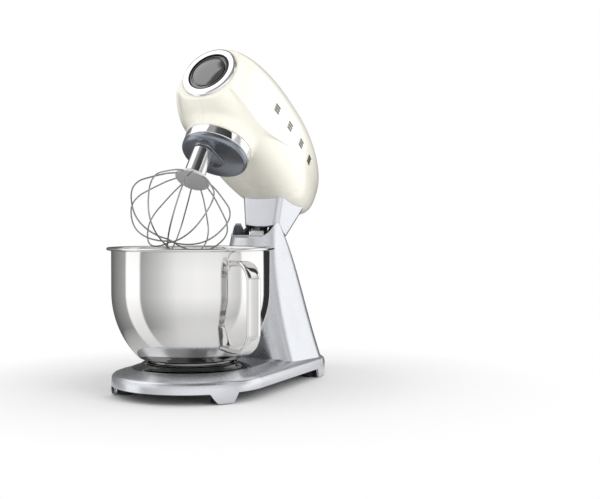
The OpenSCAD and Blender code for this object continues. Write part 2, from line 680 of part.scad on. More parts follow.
cap_seat_z = 220.2;
lip_r = 13.6;
lip_in = -26;
module planetary_cap() color("slategray") on_carrier() difference() {
    union() {
        rotate_extrude() polygon(concat(
            [[47, 228.4], [hub_r, 228.4], [hub_r, 225.6]],
            [for (a = [10 : 20 : 90]) [43.9 + 5.5 * cos(a), 225.6 - 6.4 * sin(a)]],
            [[32, 217.6], [18, 216.6], [0, 216.2]],
            [[0, cap_seat_z], [40.2, cap_seat_z], [44, 221.6], [45.4, 223.2], [47, 226.4]]));
        translate([orbit, 0, 214.6]) capsule(lip_r + 2, lip_in, 0, 4.6);
    }
    translate([orbit, 0, 200]) capsule(lip_r, lip_in, 0, 40);
}

// A tooth of the worm wheel stands in the middle of the worm
module worm_wheel() color("goldenrod") on_carrier() rotate([0, 0, -carrier_turn]) difference() {
    translate([0, 0, motor_z - 4]) linear_extrude(8) polygon([for (i = [0 : wheel_teeth - 1], k = [0 : 3])
        let (a = 360 / wheel_teeth * (i + [-0.25, -0.12, 0.12, 0.25][k]), r = [21, 23.6, 23.6, 21][k])
        r * [cos(a), sin(a)]]);
    cylinder(r = shaft_r + 0.02, h = 400);
}

// Face gear that turns the attachment drive
crown_teeth = 30;
crown_z = 305.2;
// A tooth of the face gear points straight forward
crown_phase = -90 - carrier_turn;
module crown_gear() color("goldenrod") on_carrier() rotate([0, 0, crown_phase]) difference() {
    union() {
        translate([0, 0, bridge_z + bridge_t + 1.6]) cylinder(r = 27, h = crown_z - bridge_z - bridge_t - 1.6);
        for (i = [0 : crown_teeth - 1]) rotate([0, 0, 360 / crown_teeth * i])
            box([20, -0.8, crown_z - 0.5], [26.8, 0.8, crown_z + 2.9]);
    }
    cylinder(r = 6.02, h = 400);
}

outlet_teeth = 10;
module outlet_drive() color(steel) raised() translate([0, 0, badge_z]) difference() {
    union() {
        rod_y(5, front_y + outlet_depth, -20);
        translate([0, -20.4, 0]) rotate([90, 0, 0]) linear_extrude(6)
            polygon([for (i = [0 : outlet_teeth - 1], k = [0 : 3])
                let (a = 360 / outlet_teeth * (i + [-0.22, -0.1, 0.1, 0.22][k]), r = [6.2, 9.1, 9.1, 6.2][k])
                r * [cos(a), sin(a)]]);
    }
    // square socket for an attachment's drive
    box([-2.6, front_y, -2.6], [2.6, front_y + outlet_depth + 14, 2.6]);
}

module beater_shaft() color(steel) on_whisk() difference() {
    union() {
        translate([0, 0, 190]) cylinder(r = 6.5, h = 41.8);
        translate([0, 0, 231.5]) cylinder(r = 4.5, h = 12);
        translate([0, 0, 188]) cylinder(r1 = 4.5, r2 = 6.5, h = 2.01);
    }
    translate([0, 0, 198]) rod_x(1.95, -10, 10);
}

module cross_pin() color(steel) on_whisk() translate([0, 0, 198]) rod_x(1.9, -11, 11);

module motor_armature() color(copper) raised() translate([motor_x, 0, motor_z]) {
    rod_y(4, worm_half, 141);
    for (i = [0 : 11]) rotate([0, 30 * i, 0]) box([3, stator_y[0], -3.2], [15, stator_y[1], 3.2]);
    rod_y(13.4, stator_y[0] + 1, stator_y[1] - 1);
    rod_y(9, 100, 111);
}

// Single-start worm, as one surface whose radius follows the thread's phase
worm_pitch = 2 * PI * 22.5 / wheel_teeth;
worm_half = 13;
worm_core = 4.9;
worm_ridge = 2.7;
function worm_radius(a, y) = let (
        phase = abs((y / worm_pitch - a / 360 + 100.5) % 1 - 0.5),
        edge = max(0, min(1, (11.5 - abs(y)) / 1.2)))
    worm_core + edge * worm_ridge * max(0, min(1, (0.2 - phase) / 0.1));
module motor_worm() color(steel) raised() translate([motor_x, 0, motor_z])
    skin([for (y = [worm_half : -worm_pitch / 6 : -worm_half])
        [for (i = [0 : 11]) let (a = 30 * i, r = worm_radius(a, y))
            [r * cos(a), y, r * sin(a)]]]);

module cooling_fan() color(rubber) raised() translate([motor_x, 0, motor_z]) difference() {
    union() {
        rod_y(8, 114, 125);
        rod_y(22, 114, 115.6);
        for (i = [0 : 10]) rotate([0, 360 / 11 * i, 0]) box([6, 115, -0.7], [21.5, 125, 0.7]);
    }
    rod_y(4.01, 100, 130);
}

// ---------------------------------------------------------------- whisk

whisk_disc_z = 162.5;
whisk_disc_t = 4;
socket_r = 15;
module whisk_socket() color(polished) on_whisk() difference() {
    union() {
        translate([0, 0, whisk_disc_z + whisk_disc_t]) cylinder(r = socket_r - 1.6, h = 3);
        translate([0, 0, whisk_disc_z + whisk_disc_t + 2.4]) cylinder(r = socket_r, h = 43);
        translate([0, 0, 211.8]) cylinder(r1 = socket_r, r2 = socket_r - 0.9, h = 1.5);
    }
    translate([0, 0, 184]) cylinder(r = 6.6, h = 60);
    translate([0, 0, 186]) cylinder(r = 11.6, h = 15);
    // entry slot of the cross pin
    box([-12.2, -2.3, 186], [12.2, 2.3, 220]);
}

// Middle line of one wire in the XZ plane, from its seat in the disc to the tip
cage_line = [
    [21, 164.9], [35, 156.1], [44.8, 148], [53, 140.6], [59.5, 134.3], [65.6, 127.9], [69.9, 120.3], [72.2, 111],
    [71.2, 101], [67.5, 91], [62, 80.6], [54.3, 70.8], [44, 62.8], [30, 57], [15, 54.4], [4, 54]];
wire_seat = cage_line[0];
wire_turn = 3;
wire_aim = cage_line[1] - wire_seat;
function widened(x) = x < wire_seat.x + wire_aim.x ? x : x + (cage_r - 72.2) * sin(min(90, (x - 35) * 2.5));
function half_wire(lift) = [for (i = [0 : len(cage_line) - 1]) let (p = cage_line[i])
    [widened(p.x), p.y + lift * pow(i / (len(cage_line) - 1), 3)]];

module whisk_disc() color(steel) on_whisk() difference() {
    translate([0, 0, whisk_disc_z]) rotate_extrude() polygon([
        [0, 0], [24, 0], [25, 1], [25, 3.2], [24.2, whisk_disc_t], [0, whisk_disc_t]]);
    // seats of the wires
    for (i = [0 : 2 * wire_loops - 1]) rotate([0, 0, 180 / wire_loops * i + wire_turn])
        translate([wire_seat.x, 0, wire_seat.y]) rotate([0, atan2(wire_aim.x, wire_aim.y), 0])
            cylinder(r = wire_r + 0.03, h = 12);
}

function wire_line(lift) = let (h = half_wire(lift))
    concat(h, [for (i = [len(h) - 1 : -1 : 0]) [-h[i].x, h[i].y]]);

// A round wire along points in the XZ plane
function unit(v) = v / norm(v);
function wire_rings(line, r, sides) = [for (i = [0 : len(line) - 1]) let (
        t = unit(line[min(i + 1, len(line) - 1)] - line[max(i - 1, 0)]), n = [-t.y, t.x])
    [for (j = [0 : sides - 1]) let (a = 360 * j / sides)
        [line[i].x + r * cos(a) * n.x, r * sin(a), line[i].y + r * cos(a) * n.y]]];

module whisk_wires() color(steel) on_whisk() for (i = [0 : wire_loops - 1])
    rotate([0, 0, 180 / wire_loops * i + wire_turn]) skin(wire_rings(wire_line(2.4 * i), wire_r, 7));

// ---------------------------------------------------------------- bowl

belly_z = 143;
belly_r = 130;
belly_end = 43;
// Outer profile of the wall from the flat bottom up to the rim, drawn in by d
function bowl_profile(d) = concat(
    arc([bowl_r - belly_r + (belly_r - 14) * cos(belly_end), belly_z - (belly_r - 14) * sin(belly_end)],
        14 - d, -90, -belly_end, 4),
    arc([bowl_r - belly_r, belly_z], belly_r - d, -belly_end + 5, 0, 9));
bowl_bottom = belly_z - (belly_r - 14) * sin(belly_end) - 14;

module mixing_bowl() color(polished) placed() rotate_extrude($fn = 96) polygon(concat(
    [[0, bowl_bottom]], bowl_profile(0), [[bowl_r, rim_z - 2.6]],
    arc([bowl_r + 4.4, rim_z - 0.6], 2.1, -120, 120, 8),
    [[bowl_r - bowl_t + 1.2, rim_z + 0.2], [bowl_r - bowl_t, rim_z - 1.2]],
    [for (i = [len(bowl_profile(0)) - 1 : -1 : 0]) bowl_profile(bowl_t)[i]], [[0, bowl_bottom + bowl_t]]));

module bowl_foot() color(polished) placed() difference() {
    union() {
        rotate_extrude() polygon([[foot_r - 1.6, seat_top - 0.7], [foot_r, seat_top - 0.7],
            [foot_r, bowl_bottom - 1.6], [foot_r + 1.6, bowl_bottom], [foot_r - 3, bowl_bottom], [foot_r - 1.6, bowl_bottom - 1.6]]);
        for (a = [0 : 120 : 240]) rotate([0, 0, a + 30]) intersection() {
            tube(62.6, foot_r - 0.8, seat_top - 0.7, seat_top + 2.4);
            box([40, -lug_w / 2, 0], [70, lug_w / 2, 100]);
        }
    }
}

// Handle: a broad polished strap from a welded tab under the rim to the bowl's lower curve
handle_turn = -25;
handle_w = 10;
strap_t = 3.6;
tab_t = 2.4;
handle_foot_z = 72;
handle_foot_a = asin((handle_foot_z - belly_z) / belly_r);
handle_line = concat(
    [[bowl_r + tab_t + 0.15, 0, 184], [117.5, 0, 184.6]],
    [for (a = [80 : -16 : 0]) [130 + 25.5 * cos(a), 0, 160 + 25.5 * sin(a)]],
    [for (a = [0 : -15 : -75]) [125 + 30.5 * cos(a), 0, 100 + 30.5 * sin(a)]],
    [[116, 0, 70], [102, 0, 71]],
    [[bowl_r - belly_r + (belly_r + 0.1) * cos(handle_foot_a), 0, handle_foot_z]]);
// One ring of the strap; the first lies flat on the tab, the last flat on the bowl
function strap_ring(i) = let (
        line = handle_line, last = len(line) - 1, q = line[min(i + 1, last)] - line[max(i - 1, 0)],
        u = i == 0 ? [1, 0] : i == last ? [-cos(handle_foot_a), -sin(handle_foot_a)] : unit([q.x, q.z]),
        n = [-u.y, 0, u.x], w = handle_w - (i == 0 ? 1.6 : 0))
    [for (j = [0 : 11]) let (a = 30 * j + 15, c = cos(a), s = sin(a))
        line[i] + n * (strap_t * sign(c) * pow(abs(c), 0.7)) + [0, w * sign(s) * pow(abs(s), 0.6), 0]];

module bowl_handle() color(polished) placed() rotate([0, 0, handle_turn])
    skin([for (i = [0 : len(handle_line) - 1]) strap_ring(i)]);

module handle_tab() color(polished) placed() rotate([0, 0, handle_turn]) intersection() {
    tube(bowl_r + tab_t, bowl_r + 0.02, 170, 202);
    union() {
        translate([0, 0, 190]) rotate([0, 90, 0]) cylinder(r = 9, h = 200);
        box([0, -9, 176], [200, 9, 190]);
    }
}

// ---------------------------------------------------------------- parts

base_casting();
column();
bottom_cover();
cover_screws();
rubber_feet();
bowl_seat();
seat_screws();
column_bolts();
hinge_pin();
catch_plate();
catch_housing();
cord_inlet();
button_bezel();
release_button();
lock_bolt();
head_shell_left();
head_shell_right();
neck_collar();
head_frame();
hinge_bushes();
hub_ring();
ring_gear();
carrier_bearing();
top_bearing();
motor_stator();
stator_bolts();
motor_bearings();
circuit_board();
badge_ring();
outlet_socket();
speed_plate();
side_trim();
speed_lever();
outlet_cap();
outlet_drive();
planet_carrier();
planetary_cap();
worm_wheel();
crown_gear();
beater_shaft();
planet_pinion();
cross_pin();
whisk_socket();
whisk_disc();
whisk_wires();
motor_armature();
cooling_fan();
motor_worm();
mixing_bowl();
bowl_foot();
bowl_handle();
handle_tab();
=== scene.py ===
import math

import bpy
import numpy as np
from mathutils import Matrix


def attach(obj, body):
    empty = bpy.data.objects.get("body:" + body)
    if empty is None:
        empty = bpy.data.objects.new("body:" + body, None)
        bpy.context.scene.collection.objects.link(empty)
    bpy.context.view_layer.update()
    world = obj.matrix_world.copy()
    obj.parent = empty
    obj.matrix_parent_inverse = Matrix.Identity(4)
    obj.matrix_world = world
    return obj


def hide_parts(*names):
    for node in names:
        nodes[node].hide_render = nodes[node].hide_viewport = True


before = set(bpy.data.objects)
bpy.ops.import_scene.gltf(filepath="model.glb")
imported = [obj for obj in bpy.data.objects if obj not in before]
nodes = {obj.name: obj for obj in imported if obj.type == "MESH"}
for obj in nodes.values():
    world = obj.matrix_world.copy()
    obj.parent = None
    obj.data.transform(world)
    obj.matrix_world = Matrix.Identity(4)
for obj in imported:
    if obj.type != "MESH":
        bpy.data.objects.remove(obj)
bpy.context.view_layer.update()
pi = np.pi

# -------------------------------- places, in millimetres
# Mixer axes have their origin on the table under the bowl's centre, with the front at -Y.
# Head pieces are worked out with the head down and then tipped back on the hinge.

MIDDLE = np.array([14.9, 115.0, 0.0])
HINGE = np.array([0.0, 215.0, 180.0])
TILT = math.radians(33.5)
CARRIER_TURN = math.radians(-96)
ORBIT = 24.0
# Radius at which a turned profile starts, just off its axis
AXIS_R = 0.02


def turned(p, axis, angle):
    """p turned about one of the frame's axes by an angle in radians."""
    c, s = math.cos(angle), math.sin(angle)
    a, b = [(1, 2), (2, 0), (0, 1)][axis]
    q = np.array(p, float)
    q[..., a] = c * p[..., a] - s * p[..., b]
    q[..., b] = s * p[..., a] + c * p[..., b]
    return q


def placed(p):
    """Mixer axes in millimetres to the frame in metres."""
    return (p - MIDDLE) / 1000


def raised(p):
    """Head-down mixer axes to the frame, tipped back about the hinge."""
    return placed(turned(p - HINGE, 0, -TILT) + HINGE)


def on_carrier(p):
    """A piece about the hub's axis, turned with the planet carrier."""
    return raised(turned(p, 2, CARRIER_TURN))


def on_whisk(p):
    """A piece about the whisk's own axis."""
    return on_carrier(p + np.array([ORBIT, 0.0, 0.0]))


# -------------------------------- making surfaces


def linked(name, data):
    """A new object of the scene that holds a mesh, lamp or camera."""
    obj = bpy.data.objects.new(name, data)
    bpy.context.scene.collection.objects.link(obj)
    return obj


def meshed(name, points, faces):
    """A new object with these points and faces."""
    mesh = bpy.data.meshes.new(name)
    mesh.from_pydata(points.tolist(), [], faces)
    return linked(name, mesh)


def skinned(name, rings):
    """A skin over rings[i, j], where i runs along the piece and j round it, closed round j.
    A flat face closes each end. Faces are turned so that the volume comes out positive."""
    m, n = rings.shape[:2]
    i, j = np.meshgrid(np.arange(m - 1), np.arange(n), indexing="ij")
    k = (j + 1) % n
    quads = np.stack([i * n + j, i * n + k, (i + 1) * n + k, (i + 1) * n + j], -1).reshape(-1, 4)
    points = rings.reshape(-1, 3)
    ends = [np.arange(n)[::-1], (m - 1) * n + np.arange(n)]
    a, b, c, d = (points[quads[:, x]] for x in range(4))
    volume = (np.cross(a, b) * c).sum() + (np.cross(a, c) * d).sum()
    for end in ends:
        q = points[end]
        volume += (np.cross(q[0], q[1:-1]) * q[2:]).sum()
    faces = quads.tolist() + [end.tolist() for end in ends]
    if volume < 0:
        faces = [face[::-1] for face in faces]
    return meshed(name, points, faces)


def looped(name, rings):
    """A skin that closes on itself both ways, such as a ring or the wall of a bowl."""
    m, n = rings.shape[:2]
    i, j = np.meshgrid(np.arange(m), np.arange(n), indexing="ij")
    k, l = (j + 1) % n, (i + 1) % m
    quads = np.stack([i * n + j, i * n + k, l * n + k, l * n + j], -1).reshape(-1, 4)
    points = rings.reshape(-1, 3)
    a, b, c, d = (points[quads[:, x]] for x in range(4))
    if (np.cross(a, b) * c).sum() + (np.cross(a, c) * d).sum() < 0:
        quads = quads[:, ::-1]
    return meshed(name, points, quads.tolist())


def spun(profile, sides=160, axis="z"):
    """Rings of a profile [radius, height] carried round the axis:
    x = r cos t, y = r sin t, z = h, or for a front-facing piece x = r cos t, z = r sin t, y = -h."""
    t = np.linspace(0, 2 * pi, sides, endpoint=False)
    r, h = profile[:, :1], profile[:, 1:2] + 0 * t
    if axis == "z":
        return np.stack([r * np.cos(t), r * np.sin(t), h], -1).swapaxes(0, 1)
    return np.stack([r * np.cos(t), -h, r * np.sin(t)], -1).swapaxes(0, 1)


def eased(points, radius, steps=5):
    """A closed profile whose corners are rounded: each corner becomes a parabola
    between points at the given distance, or half an edge, either side of it."""
    p = np.array(points, float)
    before, after = np.roll(p, 1, 0) - p, np.roll(p, -1, 0) - p
    lb, la = np.linalg.norm(before, axis=1), np.linalg.norm(after, axis=1)
    rad = np.minimum(np.broadcast_to(radius, lb.shape), 0.45 * np.minimum(lb, la))[:, None]
    a, b = p + before / lb[:, None] * rad, p + after / la[:, None] * rad
    t = np.linspace(0, 1, steps + 1)[None, :, None]
    return ((1 - t) ** 2 * a[:, None] + 2 * t * (1 - t) * p[:, None] + t**2 * b[:, None]).reshape(-1, 2)


def smoothed(points, steps):
    """An open line through the points: Catmull-Rom cubics with the given steps for each span."""
    p = np.array(points, float)
    e = np.vstack([2 * p[0] - p[1], p, 2 * p[-1] - p[-2]])
    t = np.arange(steps)[None, :, None] / steps
    a, b, c, d = e[:-3, None], e[1:-2, None], e[2:-1, None], e[3:, None]
    q = 0.5 * (2 * b + (c - a) * t + (2 * a - 5 * b + 4 * c - d) * t**2 + (3 * b - a - 3 * c + d) * t**3)
    return np.vstack([q.reshape(-1, p.shape[1]), p[-1:]])


def arc(centre, r, a0, a1, n):
    """Points c + r (cos a, sin a) for a from a0 to a1 degrees."""
    a = np.radians(np.linspace(a0, a1, n + 1))
    return np.stack([centre[0] + r * np.cos(a), centre[1] + r * np.sin(a)], -1)


def polar(r, degrees):
    """r (cos a, sin a) for an angle a in degrees."""
    return r * np.array([math.cos(math.radians(degrees)), math.sin(math.radians(degrees))])


def prism(name, outline, axis, lo, hi):
    """An outline in the plane square to an axis, carried along it from lo to hi."""
    p = np.array(outline, float)
    rings = np.zeros((2, len(p), 3))
    others = [x for x in range(3) if x != axis]
    rings[:, :, others[0]], rings[:, :, others[1]] = p[:, 0], p[:, 1]
    rings[0, :, axis], rings[1, :, axis] = lo, hi
    return skinned(name, rings)


def rod(name, axis, centre, r, lo, hi, sides=96):
    """A round rod along an axis: the two other coordinates are centre + r (cos t, sin t)."""
    return prism(name, arc(centre, r, 0, 360 * (1 - 1 / sides), sides - 1), axis, lo, hi)


def block(name, lo, hi, move=None):
    """A box between two corners, moved by a function of its points."""
    obj = prism(name, [[lo[0], lo[1]], [hi[0], lo[1]], [hi[0], hi[1]], [lo[0], hi[1]]], 2, lo[2], hi[2])
    if move:
        reshape(obj, move)
    return obj


def reshape(obj, move):
    """Every point of the mesh goes through the function move."""
    p = np.empty(len(obj.data.vertices) * 3)
    obj.data.vertices.foreach_get("co", p)
    obj.data.vertices.foreach_set("co", move(p.reshape(-1, 3)).ravel())
    obj.data.update()


def carved(obj, cutters, added=()):
    """obj with the added solids joined to it and the cutters taken out, in that order."""
    for tool, kind in [(a, "UNION") for a in added] + [(c, "DIFFERENCE") for c in cutters]:
        cut = obj.modifiers.new(kind, "BOOLEAN")
        cut.operation, cut.solver, cut.object = kind, "EXACT", tool
    graph = bpy.context.evaluated_depsgraph_get()
    mesh = bpy.data.meshes.new_from_object(obj.evaluated_get(graph))
    obj.modifiers.clear()
    obj.data = mesh
    for tool in [*added, *cutters]:
        bpy.data.objects.remove(tool)
    return obj


def fitted(obj, place, body, material, stands_for=(), angle=32):
    """Puts a made piece in the frame, shades it smooth between edges sharper than angle, and lets it ride."""
    reshape(obj, place)
    mesh = obj.data
    mesh.polygons.foreach_set("use_smooth", np.ones(len(mesh.polygons), bool))
    mesh.set_sharp_from_angle(angle=math.radians(angle))
    mesh.materials.clear()
    mesh.materials.append(material)
    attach(obj, body)
    if stands_for:
        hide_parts(*stands_for)
    return obj


# -------------------------------- effects shared by the finishes


def effect(name, inputs, output, build):
    """A shader group: inputs are {name: value}, output is (name, socket type), build makes its nodes."""
    tree = bpy.data.node_groups.new(name, "ShaderNodeTree")
    for key, value in inputs.items():
        kind = {1: "NodeSocketFloat", 3: "NodeSocketVector", 4: "NodeSocketColor"}[np.size(value)]
        tree.interface.new_socket(key, in_out="INPUT", socket_type=kind).default_value = value
    tree.interface.new_socket(output[0], in_out="OUTPUT", socket_type=output[1])
    start, end = tree.nodes.new("NodeGroupInput"), tree.nodes.new("NodeGroupOutput")
    tree.links.new(build(tree, start.outputs), end.inputs[0])
    return tree


def node(tree, kind, settings=(), **inputs):
    """Adds a node; inputs are numbers, colours or other nodes' outputs, by socket name with _ for a space, or
    by place among the sockets, as in i0."""
    n = tree.nodes.new("ShaderNode" + kind)
    for key, value in dict(settings).items():
        setattr(n, key, value)
    for key, value in inputs.items():
        numbered = key[0] == "i" and key[1:].isdigit()
        socket = n.inputs[int(key[1:]) if numbered else key.replace("_", " ")]
        if isinstance(value, bpy.types.NodeSocket):
            tree.links.new(value, socket)
        else:
            socket.default_value = value
    return n


def maths(tree, operation, a, b=0.5):
    """The result of one Math node for one or two numbers."""
    return node(tree, "Math", [("operation", operation)], i0=a, i1=b).outputs[0]


def dotted(tree, a, b):
    """The dot product of two vectors."""
    return node(tree, "VectorMath", [("operation", "DOT_PRODUCT")], i0=a, i1=b).outputs["Value"]


def noisy(tree, place, scale, octaves, roughness):
    """Noise at a place, between 0 and 1."""
    noise = node(tree, "TexNoise", Vector=place, Scale=scale, Detail=octaves, Roughness=roughness)
    return noise.outputs["Fac"]


def ranged(tree, value, lo, hi, a, b):
    """The value's range lo to hi carried onto a to b."""
    return node(tree, "MapRange", Value=value, From_Min=lo, From_Max=hi, To_Min=a, To_Max=b).outputs["Result"]


def cloudy(tree, given):
    """Soft patches between Low and High: two octaves of noise, such as handling leaves on a smooth face."""
    noise = noisy(tree, node(tree, "TexCoord").outputs["Object"], given["Scale"], 3.0, 0.55)
    return ranged(tree, noise, 0.35, 0.68, given["Low"], given["High"])


def speckled(tree, given):
    """A colour varied grain by grain: cells of a Voronoi pattern lighten or darken it by Amount."""
    place = node(tree, "TexCoord").outputs["Object"]
    cells = node(tree, "TexVoronoi", Vector=place, Scale=given["Scale"])
    light = node(tree, "SeparateColor", Color=cells.outputs["Color"]).outputs["Red"]
    low, high = (maths(tree, kind, 1.0, given["Amount"]) for kind in ("SUBTRACT", "ADD"))
    value = ranged(tree, light, 0.0, 1.0, low, high)
    return node(tree, "HueSaturation", Color=given["Color"], Value=value).outputs["Color"]


def orange_peel(tree, given):
    """Height of the faint swells of sprayed paint: noise at Scale."""
    return noisy(tree, node(tree, "TexCoord").outputs["Object"], given["Scale"], 1.5, 0.4)


def turned_lines(tree, given):
    """Height of fine lines round the Z axis of Place, as turning or spinning leaves them:
    noise that changes with height and radius but hardly along the line."""
    part = node(tree, "SeparateXYZ", Vector=given["Place"])
    squares = [maths(tree, "MULTIPLY", part.outputs[a], part.outputs[a]) for a in "XY"]
    radius = maths(tree, "SQRT", maths(tree, "ADD", *squares))
    where = node(tree, "CombineXYZ", X=radius, Y=0.0, Z=part.outputs["Z"]).outputs[0]
    return noisy(tree, where, given["Scale"], 2.0, 0.6)


def drawn_lines(tree, given):
    """Height of straight brushed lines along X of Place: noise stretched along them."""
    along = (0.03, 1.0, 1.0)
    stretch = node(tree, "VectorMath", [("operation", "MULTIPLY")], i0=given["Place"], i1=along).outputs[0]
    return noisy(tree, stretch, given["Scale"], 2.0, 0.6)


def windings(tree, given):
    """Height of wound wire: ridges with straight flanks, side by side along X of Place, Pitch apart."""
    across = node(tree, "SeparateXYZ", Vector=given["Place"]).outputs["X"]
    ridge = maths(tree, "PINGPONG", maths(tree, "DIVIDE", across, given["Pitch"]), 0.5)
    return ranged(tree, ridge, 0.0, 0.5, 0.0, 1.0)


VALUE, COLOUR = ("Value", "NodeSocketFloat"), ("Color", "NodeSocketColor")
HEIGHT = ("Height", "NodeSocketFloat")
ORIGIN, GREY = (0.0, 0.0, 0.0), (0.5, 0.5, 0.5, 1.0)
handling = effect("handling_patches", {"Scale": 20.0, "Low": 0.1, "High": 0.3}, VALUE, cloudy)
grains = effect("grain_by_grain", {"Color": GREY, "Scale": 900.0, "Amount": 0.05}, COLOUR, speckled)
peel = effect("sprayed_swells", {"Scale": 260.0}, HEIGHT, orange_peel)
lathe = effect("turned_lines", {"Place": ORIGIN, "Scale": 900.0}, HEIGHT, turned_lines)
brush = effect("brushed_lines", {"Place": ORIGIN, "Scale": 1500.0}, HEIGHT, drawn_lines)
winding = effect("wound_wire", {"Place": ORIGIN, "Pitch": 0.0016}, HEIGHT, windings)


def shared(tree, group, **inputs):
    """Places a shared effect in a material and gives its output."""
    return node(tree, "Group", [("node_tree", group)], **inputs).outputs[0]


def finish(name, colour, rough, bump, metal=0.0, patches=20.0, grain=0.0, grain_scale=900.0, depth=0.0002,
           coat=0.0, coat_rough=0.03):
    """A finish: its colour varied grain by grain, roughness that drifts between two values where hands have
    been, and a bump of a strength, made by one of the shared effects."""
    mat = bpy.data.materials.new(name)
    mat.use_nodes = True
    tree = mat.node_tree
    shader = tree.nodes["Principled BSDF"]
    plain = {"Base Color": (*colour, 1.0), "Metallic": metal, "IOR": 1.5, "Specular IOR Level": 0.5,
             "Coat Weight": coat, "Coat Roughness": coat_rough}
    for key, value in plain.items():
        shader.inputs[key].default_value = value
    if grain:
        tree.links.new(shared(tree, grains, Color=(*colour, 1.0), Scale=grain_scale, Amount=grain),
                       shader.inputs["Base Color"])
    drift = shared(tree, handling, Scale=patches, Low=rough[0], High=rough[1])
    tree.links.new(drift, shader.inputs["Roughness"])
    height, strength = bump
    raise_by = node(tree, "Bump", Strength=strength, Distance=depth, Height=height(tree))
    tree.links.new(raise_by.outputs["Normal"], shader.inputs["Normal"])
    return mat


def swells(scale, strength):
    """A bump of sprayed swells, all over the piece."""
    return lambda tree: shared(tree, peel, Scale=scale), strength


def about(group, centre, strength, tilt=TILT, **inputs):
    """A bump of lines laid out about an axis through centre, in metres, that leans back by tilt."""
    def height(tree):
        place = node(tree, "TexCoord").outputs["Object"]
        moved = node(tree, "VectorMath", [("operation", "SUBTRACT")], i0=place, i1=tuple(centre)).outputs[0]
        upright = node(tree, "Mapping", [("vector_type", "POINT")], Vector=moved, Rotation=(tilt, 0.0, 0.0))
        return shared(tree, group, Place=upright.outputs[0], **inputs)
    return height, strength


hub_centre = raised(np.array([0.0, 0.0, 230.0]))
bowl_centre = placed(np.array([0.0, 0.0, 0.0]))
whisk_centre = on_whisk(np.array([0.0, 0.0, 190.0]))

silver_paint = finish("silver_paint", (0.66, 0.675, 0.71), (0.24, 0.31), swells(420.0, 0.05), metal=0.92,
                      grain=0.035, grain_scale=2400.0, coat=0.35, coat_rough=0.08)
cream_enamel = finish("cream_enamel", (0.92, 0.90, 0.79), (0.26, 0.34), swells(300.0, 0.03),
                      grain=0.012, grain_scale=500.0, patches=9.0, coat=0.8, coat_rough=0.12)
chrome = finish("polished_chrome", (0.90, 0.90, 0.91), (0.02, 0.07), swells(60.0, 0.02),
                metal=1.0, patches=30.0)
# Chrome painted dark: its grey colour is a painted dark reflection, standing in for the dark surroundings
# these mirror-polished parts reflect. On the attachment cap it also stands partly for the cap's dark
# lettering.
chrome_painted_dark = finish("chrome_painted_dark", (0.20, 0.20, 0.20), (0.04, 0.09), swells(60.0, 0.02),
                     metal=1.0, patches=30.0)
bowl_steel = finish("polished_stainless", (0.74, 0.735, 0.725), (0.045, 0.10),
                    about(lathe, bowl_centre, 0.05, 0.0, Scale=700.0), metal=1.0, patches=14.0, depth=0.0001)
socket_steel = finish("turned_stainless", (0.72, 0.72, 0.72), (0.10, 0.16),
                      about(lathe, whisk_centre, 0.10, Scale=1800.0), metal=1.0)
disc_steel = finish("plain_disc_steel", (0.80, 0.80, 0.80), (0.34, 0.42),
                    about(brush, whisk_centre, 0.12, Scale=900.0), metal=0.45, grain=0.03)
wire_steel = finish("drawn_wire_steel", (0.40, 0.40, 0.40), (0.20, 0.28), swells(900.0, 0.05),
                    metal=1.0, grain=0.03)
cut_steel = finish("machined_steel", (0.50, 0.50, 0.51), (0.24, 0.36),
                   about(lathe, hub_centre, 0.15, Scale=1600.0), metal=1.0, grain=0.03)
cast_alloy = finish("cast_alloy", (0.52, 0.53, 0.55), (0.42, 0.56), swells(1100.0, 0.30), metal=0.9,
                    grain=0.10, grain_scale=1300.0)
satin_cap = finish("satin_cap", (0.26, 0.28, 0.32), (0.20, 0.28), swells(1500.0, 0.10), metal=0.92,
                   grain=0.04, grain_scale=1800.0, coat=0.45, coat_rough=0.10)
brass = finish("cut_brass", (0.68, 0.50, 0.24), (0.20, 0.34), about(lathe, hub_centre, 0.15, Scale=1500.0),
               metal=1.0, grain=0.03)
copper = finish("enamelled_copper", (0.62, 0.28, 0.12), (0.22, 0.34),
                about(winding, hub_centre, 0.5, Pitch=0.0016), metal=0.9, grain=0.03, depth=0.0004)
rubber = finish("black_rubber", (0.018, 0.018, 0.019), (0.55, 0.72), swells(1600.0, 0.25),
                grain=0.12, grain_scale=1500.0)
black_plastic = finish("moulded_black", (0.014, 0.014, 0.016), (0.26, 0.40), swells(1000.0, 0.15), grain=0.08)
board_green = finish("board_lacquer", (0.02, 0.13, 0.06), (0.20, 0.35), swells(700.0, 0.15),
                     grain=0.15, grain_scale=1200.0, coat=0.5)
bush_bronze = finish("sintered_bronze", (0.45, 0.30, 0.15), (0.45, 0.55), swells(2600.0, 0.25), metal=0.9,
                     grain=0.12, grain_scale=2500.0)

finishes = {
    silver_paint: "base_casting column neck_collar",
    cream_enamel: "head_shell_left head_shell_right",
    chrome: "button_bezel hub_ring badge_ring speed_lever",
    # The outlet cap, side bars, dish and bowl's foot take chrome painted dark: a painted dark reflection in
    # place of their own bright chrome.
    chrome_painted_dark: "outlet_cap side_trim bowl_seat bowl_foot",
    bowl_steel: "mixing_bowl bowl_handle handle_tab",
    socket_steel: "whisk_socket", disc_steel: "whisk_disc", wire_steel: "whisk_wires",
    cut_steel: "cover_screws seat_screws column_bolts hinge_pin catch_plate lock_bolt carrier_bearing "
               "top_bearing stator_bolts motor_bearings ring_gear planet_pinion cross_pin beater_shaft "
               "motor_worm outlet_drive",
    cast_alloy: "head_frame planet_carrier outlet_socket motor_stator",
    satin_cap: "planetary_cap speed_plate",
    brass: "worm_wheel crown_gear", copper: "motor_armature", bush_bronze: "hinge_bushes",
    rubber: "rubber_feet bottom_cover cord_inlet", black_plastic: "catch_housing release_button cooling_fan",
    board_green: "circuit_board",
}
for material, names in finishes.items():
    for name in names.split():
        mesh = nodes[name].data
        mesh.materials.clear()
        mesh.materials.append(material)

# -------------------------------- head

